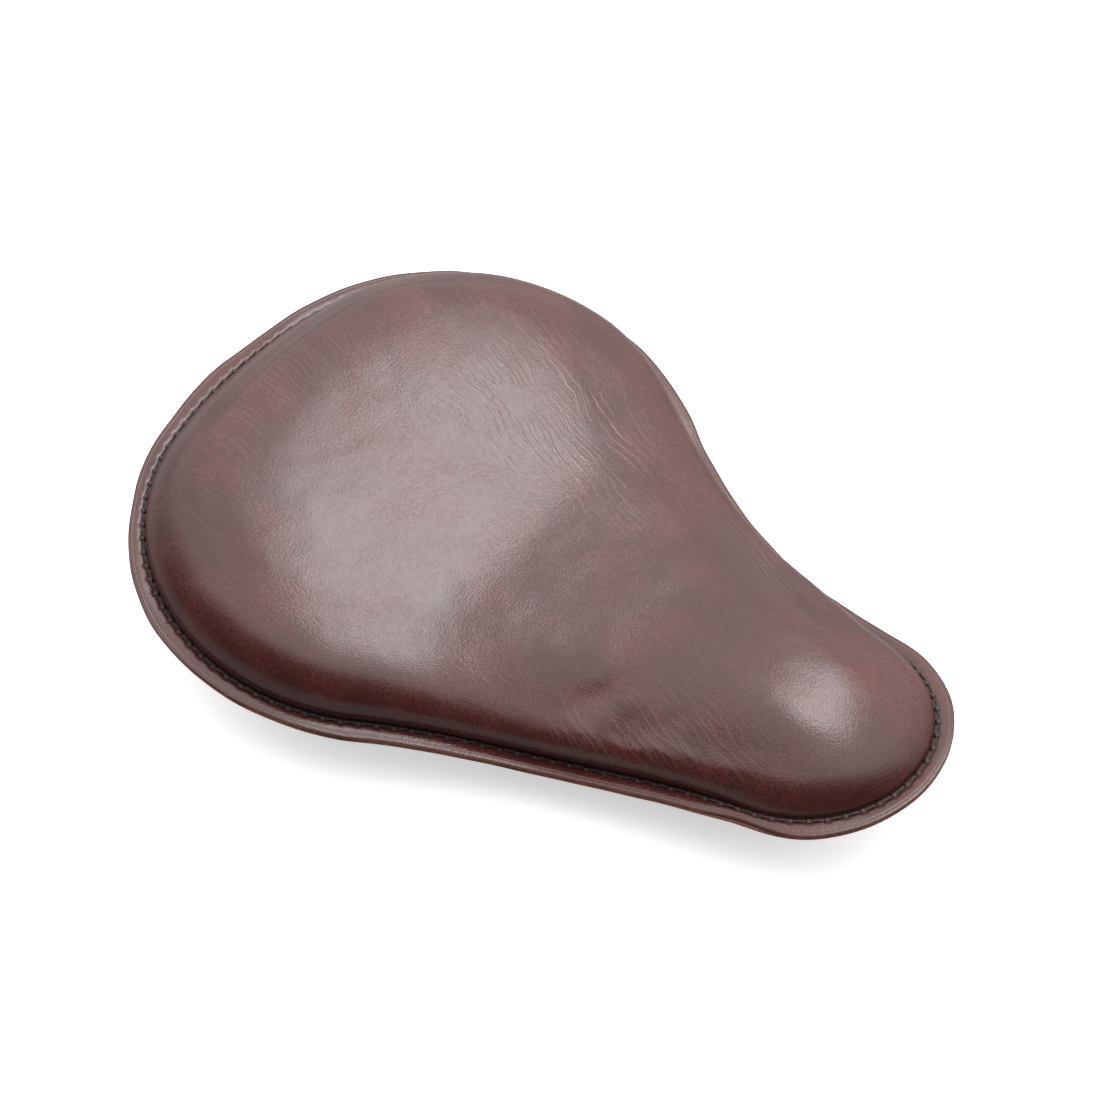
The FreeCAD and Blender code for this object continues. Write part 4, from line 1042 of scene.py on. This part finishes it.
def make_stitch_tree():
    """Lock stitches along a path: an arched thread between needle holes, and a knot in each hole."""
    inputs = {
        "Count": 100,
        "Thread Radius": 0.4 * MM,
        "Stitch Length": 6.2 * MM,
        "Rise": 0.4 * MM,
        "Sink": 0.7 * MM,
        "Slant": 0.09,
        "Unevenness": 0.06,
        "Knot Radius": 1.28 * MM,
        "Up": (0, 0, 1),
        "Seed": 3,
        "Knot Material": "Material",
    }
    tree, given, result = geometry_group("lock_stitches", inputs)
    path = given["Geometry"]
    spots = {"Curve": path, "Count": given["Count"]}
    spots = node(tree, "GeometryNodeCurveToPoints", spots, mode="COUNT").outputs
    tangent = spots["Tangent"]
    turned = stand_on_path(tree, tangent, given["Up"])
    least = times(tree, given["Unevenness"], -1.0)
    wobble = random_between(tree, least, given["Unevenness"], given["Seed"])
    slant = maths(tree, "ADD", given["Slant"], wobble)
    slant = node(tree, "ShaderNodeCombineXYZ", {"Z": slant}).outputs[0]
    slanted = {"Rotation": turned, "Rotate By": slant}
    slanted = node(tree, "FunctionNodeRotateRotation", slanted, rotation_space="LOCAL").outputs[0]

    half = times(tree, given["Stitch Length"], 0.5)
    sunk = times(tree, given["Sink"], -1.0)
    top = times_plus(tree, given["Rise"], 2.0, given["Sink"])
    arch = {}
    back = times(tree, half, -1.0)
    for label, x, z in (("Start", back, sunk), ("Middle", 0.0, top), ("End", half, sunk)):
        arch[label] = node(tree, "ShaderNodeCombineXYZ", {"X": x, "Z": z}).outputs[0]
    line = grown(tree, "CurveQuadraticBezier", {**arch, "Resolution": 8})
    section = grown(tree, "CurvePrimitiveCircle", {"Resolution": 7, "Radius": given["Thread Radius"]})
    arched = grown(tree, "CurveToMesh", {"Curve": line, "Profile Curve": section, "Fill Caps": True})
    knot_form = squashed_ball(tree, given["Knot Radius"], (1.05, 0.95, 0.55))

    pitch = maths(tree, "DIVIDE", grown(tree, "CurveLength", {0: path}), given["Count"])
    onward = {0: tangent, 3: times(tree, pitch, 0.5)}
    onward = node(tree, "ShaderNodeVectorMath", onward, operation="SCALE").outputs[0]
    middles = grown(tree, "SetPosition", {"Geometry": spots["Points"], "Offset": onward})
    joined = tree.nodes.new("GeometryNodeJoinGeometry")
    for made in (
        real_and_painted(tree, middles, arched, given["Material"], Rotation=slanted),
        real_and_painted(tree, spots["Points"], knot_form, given["Knot Material"], Rotation=turned),
    ):
        tree.links.new(made, joined.inputs[0])
    tree.links.new(joined.outputs[0], result["Geometry"])
    return tree


SEAM_PATH = ring(SEAM, 0)
SEAM_LENGTH = float(np.linalg.norm(np.roll(SEAM_PATH, -1, axis=0) - SEAM_PATH, axis=1).sum())
STITCHES = round(SEAM_LENGTH / STITCH_PITCH)


# ---------------------------------------------------------------- hardware
def lathe(name, sections, count):
    """A closed solid from rings of points about +Z, capped at both ends."""
    vertices = [point for section in sections for point in section]
    faces = []
    for place in range(len(sections) - 1):
        low, high = place * count, (place + 1) * count
        for k in range(count):
            after = (k + 1) % count
            faces.append((low + k, low + after, high + after, high + k))
    for first, points, order in ((0, sections[0], -1), ((len(sections) - 1) * count, sections[-1], 1)):
        centre = len(vertices)
        vertices.append(np.mean(points, axis=0))
        for k in range(count):
            pair = (first + k, first + (k + 1) % count)[::order]
            faces.append((*pair, centre))
    return mesh_object(name, vertices, faces)


def circle_of(radius, z, count):
    angles = 2 * math.pi * np.arange(count) / count
    radius = np.broadcast_to(radius, count)
    return np.column_stack([radius * np.cos(angles), radius * np.sin(angles), np.broadcast_to(z, count)])


def threaded_rod(name, radius, low, high, plain_to, pitch=1.25 * MM):
    """A rod about +Z: rolled thread from low up to plain_to, then a plain shank to high."""
    count, steps = 36, 8
    depth = 0.54 * pitch
    angles = np.arange(count) / count
    sections = [circle_of(radius - depth, low, count)]
    for z in np.arange(low + 0.2 * MM, plain_to, pitch / steps):
        phase = (z / pitch - angles) % 1.0
        valley = np.clip(np.abs(phase - 0.5) * 2.6 - 0.35, 0, 1)
        fade = np.clip((z - low) / pitch, 0, 1) * np.clip((plain_to - z) / pitch, 0, 1)
        lead = np.clip((z - low) / (0.8 * pitch), 0, 1)
        tip = radius - depth * (1 - lead)
        sections.append(circle_of(tip - depth * (1 - valley) * fade * lead, z, count))
    sections.append(circle_of(radius, plain_to, count))
    sections.append(circle_of(radius, high, count))
    return lathe(name, sections, count)


def hex_radius(flats, count):
    angles = 2 * math.pi * np.arange(count) / count
    return flats / 2 / np.cos((angles % (math.pi / 3)) - math.pi / 6)


def hex_block(name, flats, low, high, chamfer_low, chamfer_high):
    """A hexagon block about +Z whose chosen ends are turned to a chamfer."""
    count = 72
    corner = hex_radius(flats, count)
    face = flats / 2 * 0.96
    drop = np.maximum(corner - face, 0) * math.tan(math.radians(30))
    sections = []
    if chamfer_low:
        sections.append(circle_of(face, low, count))
    sections.append(circle_of(corner, low + drop if chamfer_low else low, count))
    sections.append(circle_of(corner, high - drop if chamfer_high else high, count))
    if chamfer_high:
        sections.append(circle_of(face, high, count))
    return lathe(name, sections, count)


def turn_along_y(made, x, y, z):
    """Lays a piece made about +Z along +Y, at a place, in its mesh."""
    points = read_points(made.data)
    write_points(made.data, np.column_stack([points[:, 0] + x, points[:, 2] + y, -points[:, 1] + z]))
    return made


def shift(made, x, y, z):
    write_points(made.data, read_points(made.data) + np.array([x, y, z]))
    return made


def join(name, pieces):
    """Joins closed pieces of one finish into one mesh."""
    vertices, faces = [], []
    for piece in pieces:
        first = len(vertices)
        vertices += [tuple(v.co) for v in piece.data.vertices]
        faces += [tuple(first + n for n in face.vertices) for face in piece.data.polygons]
        bpy.data.objects.remove(piece)
    return mesh_object(name, vertices, faces)


def flat_between(made, degrees=35):
    """Smooth shading on round parts and crisp edges between faces."""
    made.data.set_sharp_from_angle(angle=math.radians(degrees))
    return made


def make_weld_tree():
    """A weld bead: overlapping half-sunk ripples along a path."""
    inputs = {"Ripple Pitch": 1.1 * MM, "Bead Radius": 1.8 * MM, "Unevenness": 0.12, "Seed": 8}
    tree, given, result = geometry_group("weld_bead", inputs)
    spots = {"Curve": given["Geometry"], "Length": given["Ripple Pitch"]}
    spots = node(tree, "GeometryNodeCurveToPoints", spots, mode="LENGTH").outputs
    turned = stand_on_path(tree, spots["Tangent"], (0, 0, 1))
    ripple = squashed_ball(tree, given["Bead Radius"], (0.55, 1.0, 0.8))
    low = maths(tree, "SUBTRACT", 1.0, given["Unevenness"])
    high = maths(tree, "ADD", 1.0, given["Unevenness"])
    size = random_between(tree, low, high, given["Seed"])
    bead = real_and_painted(tree, spots["Points"], ripple, given["Material"], Rotation=turned, Scale=size)
    tree.links.new(bead, result["Geometry"])
    return tree


# ---------------------------------------------------------------- making the pieces
cover_leather = make_cover_leather()
welt_leather = make_welt_leather()
thread = make_thread("waxed_thread", (0.010, 0.007, 0.006, 1), (0.040, 0.026, 0.022, 1))
# the knots are thread, painted near-black as painted shade of the needle holes they sit in
knot = make_thread("waxed_knot", (0.004, 0.0035, 0.0035, 1), (0.014, 0.011, 0.010, 1))
soft_foam = make_foam("soft_foam", (0.72, 0.66, 0.50, 1), (0.45, 0.38, 0.26, 1), 900.0)
firm_foam = make_foam("firm_foam", (0.16, 0.16, 0.17, 1), (0.06, 0.06, 0.065, 1), 1400.0)
black, rubbed_black = (0.016, 0.016, 0.017, 1), (0.030, 0.030, 0.032, 1)
painted = dict(metallic=0.0, tooth=0.035, coat=0.15)
black_paint = make_metal("black_powder_coat", rubbed_black, black, 0.42, **painted)
zinc = make_metal("zinc_plate", (0.66, 0.66, 0.64, 1), (0.44, 0.45, 0.46, 1), 0.30, scale=1.6)
nickel = make_metal("nickel_rivets", (0.62, 0.60, 0.56, 1), (0.40, 0.38, 0.35, 1), 0.28, scale=2.0)
brass = make_metal("aged_brass", (0.62, 0.42, 0.16, 1), (0.30, 0.18, 0.07, 1), 0.32, scale=2.0)
nylon = make_nylon()

cushion, insets = cushion_rings()
cushion = swell(cushion, insets)
top_cover = make_top_cover(cushion, insets)
work_leather(top_cover)
edge_layer = make_edge_layer()
foam_top = make_foam_top(cushion)
foam_base = make_foam_base(cushion)

stitch_tree = make_stitch_tree()
sewn = dict(Count=STITCHES, Material=thread, Knot_Material=knot)
# the upper stitches lie a little out from the seam, where the wall does not hide them
top_path = path_curve("stitches_top", ring(SEAM - 0.3 * MM, FLANGE_TOP - 0.15 * MM))
under_path = path_curve("stitches_under", ring(SEAM, 0.2 * MM))
stitches_top = grow(top_path, stitch_tree, **sewn)
stitches_under = grow(under_path, stitch_tree, Up=(0, 0, -1.0), **sewn)

STUD_LOW, STUD_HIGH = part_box("spring_studs")
NUT_LOW, NUT_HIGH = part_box("stud_nuts")
BOLT_LOW, BOLT_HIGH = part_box("pivot_bolt")
LOCK_LOW, LOCK_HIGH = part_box("pivot_nut")
M8 = 4 * MM
STUD_ROOT = 5 * MM
STUD_FLATS, PIVOT_FLATS = 17 * MM, 13 * MM
HEAD_HEIGHT = 5.3 * MM
stud_x = (STUD_LOW.x + STUD_HIGH.x) / 2
stud_y = STUD_HIGH.y - STUD_ROOT
pivot_x = (BOLT_LOW.x + BOLT_HIGH.x) / 2
pivot_z = (BOLT_LOW.z + BOLT_HIGH.z) / 2

studs, nuts = [], []
for side in (-1, 1):
    step = NUT_LOW.z - 1 * MM
    end = threaded_rod("stud_end", M8, STUD_LOW.z, step + 0.5 * MM, step)
    root = threaded_rod("stud_root", STUD_ROOT, step, STUD_HIGH.z, NUT_LOW.z + 0.5 * MM)
    studs += [shift(end, stud_x, side * stud_y, 0), shift(root, stud_x, side * stud_y, 0)]
    nut = hex_block("stud_nut", STUD_FLATS, NUT_LOW.z, NUT_HIGH.z, True, True)
    nuts.append(shift(nut, stud_x, side * stud_y, 0))
threaded_studs = flat_between(join("threaded_studs", studs))
lock_nuts = flat_between(join("lock_nuts", nuts), 20)

head = hex_block("bolt_head", PIVOT_FLATS, -HEAD_HEIGHT, 0, True, False)
shank_end = LOCK_LOW.y - BOLT_LOW.y - HEAD_HEIGHT
shank = lathe("bolt_shank", [circle_of(M8, z, 48) for z in (-0.5 * MM, shank_end)], 48)
nut_height = LOCK_HIGH.y - LOCK_LOW.y
tail = threaded_rod("bolt_tail", M8, 0, nut_height + 3 * MM, nut_height + 2.4 * MM)
write_points(tail.data, read_points(tail.data) * np.array([1, -1, -1]))
tail = shift(tail, 0, 0, BOLT_HIGH.y - BOLT_LOW.y - HEAD_HEIGHT)
pivot_bolt = join("hex_pivot_bolt", [head, shank, tail])
pivot_bolt = flat_between(turn_along_y(pivot_bolt, pivot_x, BOLT_LOW.y + HEAD_HEIGHT, pivot_z), 20)
pivot_nut = hex_block("hex_pivot_nut", PIVOT_FLATS, 0, nut_height, True, True)
pivot_nut = flat_between(turn_along_y(pivot_nut, pivot_x, LOCK_LOW.y, pivot_z), 20)

weld_tree = make_weld_tree()
weld_paths = []
BOSS_LOW, BOSS_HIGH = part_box("spring_boss_left")
boss_radius = (BOSS_HIGH.x - BOSS_LOW.x) / 2
for side in (-1, 1):
    around = circle_of(boss_radius + 0.3 * MM, 0, 60) + np.array([stud_x, side * stud_y, 0])
    around[:, 2] = profile(around[:, 0], 0) + WELT - 0.5 * MM
    weld_paths.append(around)
BRACKET_LOW, BRACKET_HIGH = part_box("nose_bracket")
for side_y in (BRACKET_LOW.y - 0.3 * MM, BRACKET_HIGH.y + 0.3 * MM):
    xs = np.linspace(BRACKET_LOW.x + 4 * MM, BRACKET_HIGH.x - 4 * MM, 40)
    weld_paths.append(np.column_stack([xs, np.full(40, side_y), profile(xs, 0) + WELT - 0.5 * MM]))
beads = []
for number, points in enumerate(weld_paths):
    path = path_curve(f"bead_{number}", points, number < 2)
    beads.append(grow(path, weld_tree, Seed=number, Material=black_paint))
weld_beads = join("weld_beads", beads)

# ---------------------------------------------------------------- finishes and bodies
for piece, material, slot in (
    (top_cover, cover_leather, "cover_leather"),
    (edge_layer, welt_leather, "welt_leather"),
    (foam_top, soft_foam, "soft_foam"),
    (foam_base, firm_foam, "firm_foam"),
    (stitches_top, thread, "seam_thread"),
    (stitches_under, thread, "seam_thread"),
    (threaded_studs, zinc, "zinc_steel"),
    (lock_nuts, zinc, "zinc_steel"),
    (pivot_bolt, zinc, "zinc_steel"),
    (pivot_nut, zinc, "zinc_steel"),
    (weld_beads, black_paint, "black_paint"),
):
    piece.data.materials.clear()
    piece.data.materials.append(material)
    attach(piece, "seat")

for piece, replaced in (
    (top_cover, "top_cover"),
    (edge_layer, "edge_welt"),
    (foam_top, "foam_top"),
    (foam_base, "foam_base"),
    (stitches_top, "seam_thread_top"),
    (stitches_under, "seam_thread_bottom"),
    (threaded_studs, "spring_studs"),
    (lock_nuts, "stud_nuts"),
    (pivot_bolt, "pivot_bolt"),
    (pivot_nut, "pivot_nut"),
):
    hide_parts(replaced)

for name, material in (
    ("seat_pan", black_paint),
    ("spring_boss_left", black_paint),
    ("spring_boss_right", black_paint),
    ("nose_bracket", black_paint),
    ("frame_bracket", black_paint),
    ("pan_rivets", nickel),
    ("breather_eyelets", brass),
    ("stud_washers", zinc),
    ("pivot_washers", zinc),
    ("pivot_bush_left", nylon),
    ("pivot_bush_right", nylon),
):
    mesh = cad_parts[name].data
    mesh.materials.clear()
    mesh.materials.append(material)


# ---------------------------------------------------------------- floor, light and camera
WALL_LIGHT, CEILING_LIGHT, ROOM_LIGHT = 1.25, 2.25, 0.09
BACKDROP = 1.5  # how bright the backdrop itself looks
FLOOR_GLOW = 0.55  # what the floor adds to its own brightness for the camera
FLOOR_REACH = 6.0
SOFTBOX_LIGHT = 7.5
SOFTBOX_PLACE = (-0.012, 0.733, 1.6)
SOFTBOX_SIZE = (0.62, 1.15)
SOFTBOX_TURN = math.radians(26)


def make_floor():
    """A pale floor, brighter to the camera than to the light that bounces off it."""
    material, tree, surface = principled("pale_floor", Roughness=0.7)
    tone = clouds(tree, object_coordinates(tree), 3.0, 2.0)
    pale = blend(tree, tone, (0.86, 0.86, 0.86, 1), (0.90, 0.90, 0.90, 1))
    tree.links.new(pale, surface["Base Color"])
    path = node(tree, "ShaderNodeLightPath").outputs
    bounced = maths(tree, "MAXIMUM", path["Is Diffuse Ray"], path["Is Glossy Ray"])
    dim = node(tree, "ShaderNodeBsdfDiffuse", {"Color": (0.30, 0.30, 0.30, 1)}).outputs[0]
    shared = {0: bounced, 1: tree.nodes["Principled BSDF"].outputs[0], 2: dim}
    shared = node(tree, "ShaderNodeMixShader", shared).outputs[0]
    glow = {"Strength": times(tree, path["Is Camera Ray"], FLOOR_GLOW)}
    glow = node(tree, "ShaderNodeEmission", glow).outputs[0]
    bright = node(tree, "ShaderNodeAddShader", {0: shared, 1: glow}).outputs[0]
    tree.links.new(bright, tree.nodes["Material Output"].inputs["Surface"])
    corners = [(x * FLOOR_REACH, y * FLOOR_REACH, 0) for x, y in ((-1, -1), (1, -1), (1, 1), (-1, 1))]
    floor = mesh_object("floor", corners, [(0, 1, 2, 3)])
    floor.data.materials.append(material)


def make_softbox():
    """A softbox hung level, facing down, turned about the vertical."""
    light = bpy.data.lights.new("softbox", "AREA")
    light.shape = "RECTANGLE"
    light.size, light.size_y = SOFTBOX_SIZE
    light.color = (1.0, 0.965, 0.985)
    light.energy = SOFTBOX_LIGHT * math.pi * light.size * light.size_y
    made = put_in_scene("softbox", light)
    made.location = SOFTBOX_PLACE
    made.rotation_euler = (0, 0, SOFTBOX_TURN)


def make_sky():
    """Plain studio surround: pale walls and ceiling, and a dim room in front of the seat."""
    world = bpy.data.worlds.new("studio")
    world.use_nodes = True
    bpy.context.scene.world = world
    tree = world.node_tree
    way = node(tree, "ShaderNodeTexCoord").outputs["Generated"]
    height = node(tree, "ShaderNodeSeparateXYZ", {0: way}).outputs["Z"]
    towards = node(tree, "ShaderNodeVectorMath", {0: way, 1: (-0.30, 0.70, 0.65)}, operation="DOT_PRODUCT")
    lit = window(tree, towards.outputs["Value"], -0.06, 0.46)
    bright = window(tree, height, 0.15, 0.8, WALL_LIGHT, CEILING_LIGHT)
    background = tree.nodes["Background"]
    background.inputs["Color"].default_value = (1.0, 0.972, 0.985, 1)
    seen = node(tree, "ShaderNodeLightPath").outputs["Is Camera Ray"]
    glow = times_plus(tree, lit, bright, ROOM_LIGHT)
    strength = maths(tree, "MAXIMUM", glow, times(tree, seen, BACKDROP))
    tree.links.new(strength, background.inputs["Strength"])


def make_camera():
    across, height = math.cos(CAMERA_ELEVATION), math.sin(CAMERA_ELEVATION)
    back = Vector((math.sin(CAMERA_AZIMUTH) * across, -math.cos(CAMERA_AZIMUTH) * across, height))
    camera = bpy.data.cameras.new("camera")
    camera.angle = CAMERA_FIELD
    made = put_in_scene("camera", camera)
    made.location = CAMERA_TARGET + back * CAMERA_DISTANCE
    made.rotation_euler = (-back).to_track_quat("-Z", "Y").to_euler()
    bpy.context.scene.camera = made


make_floor()
make_softbox()
make_sky()
make_camera()
bpy.context.scene.view_settings.view_transform = "Standard"
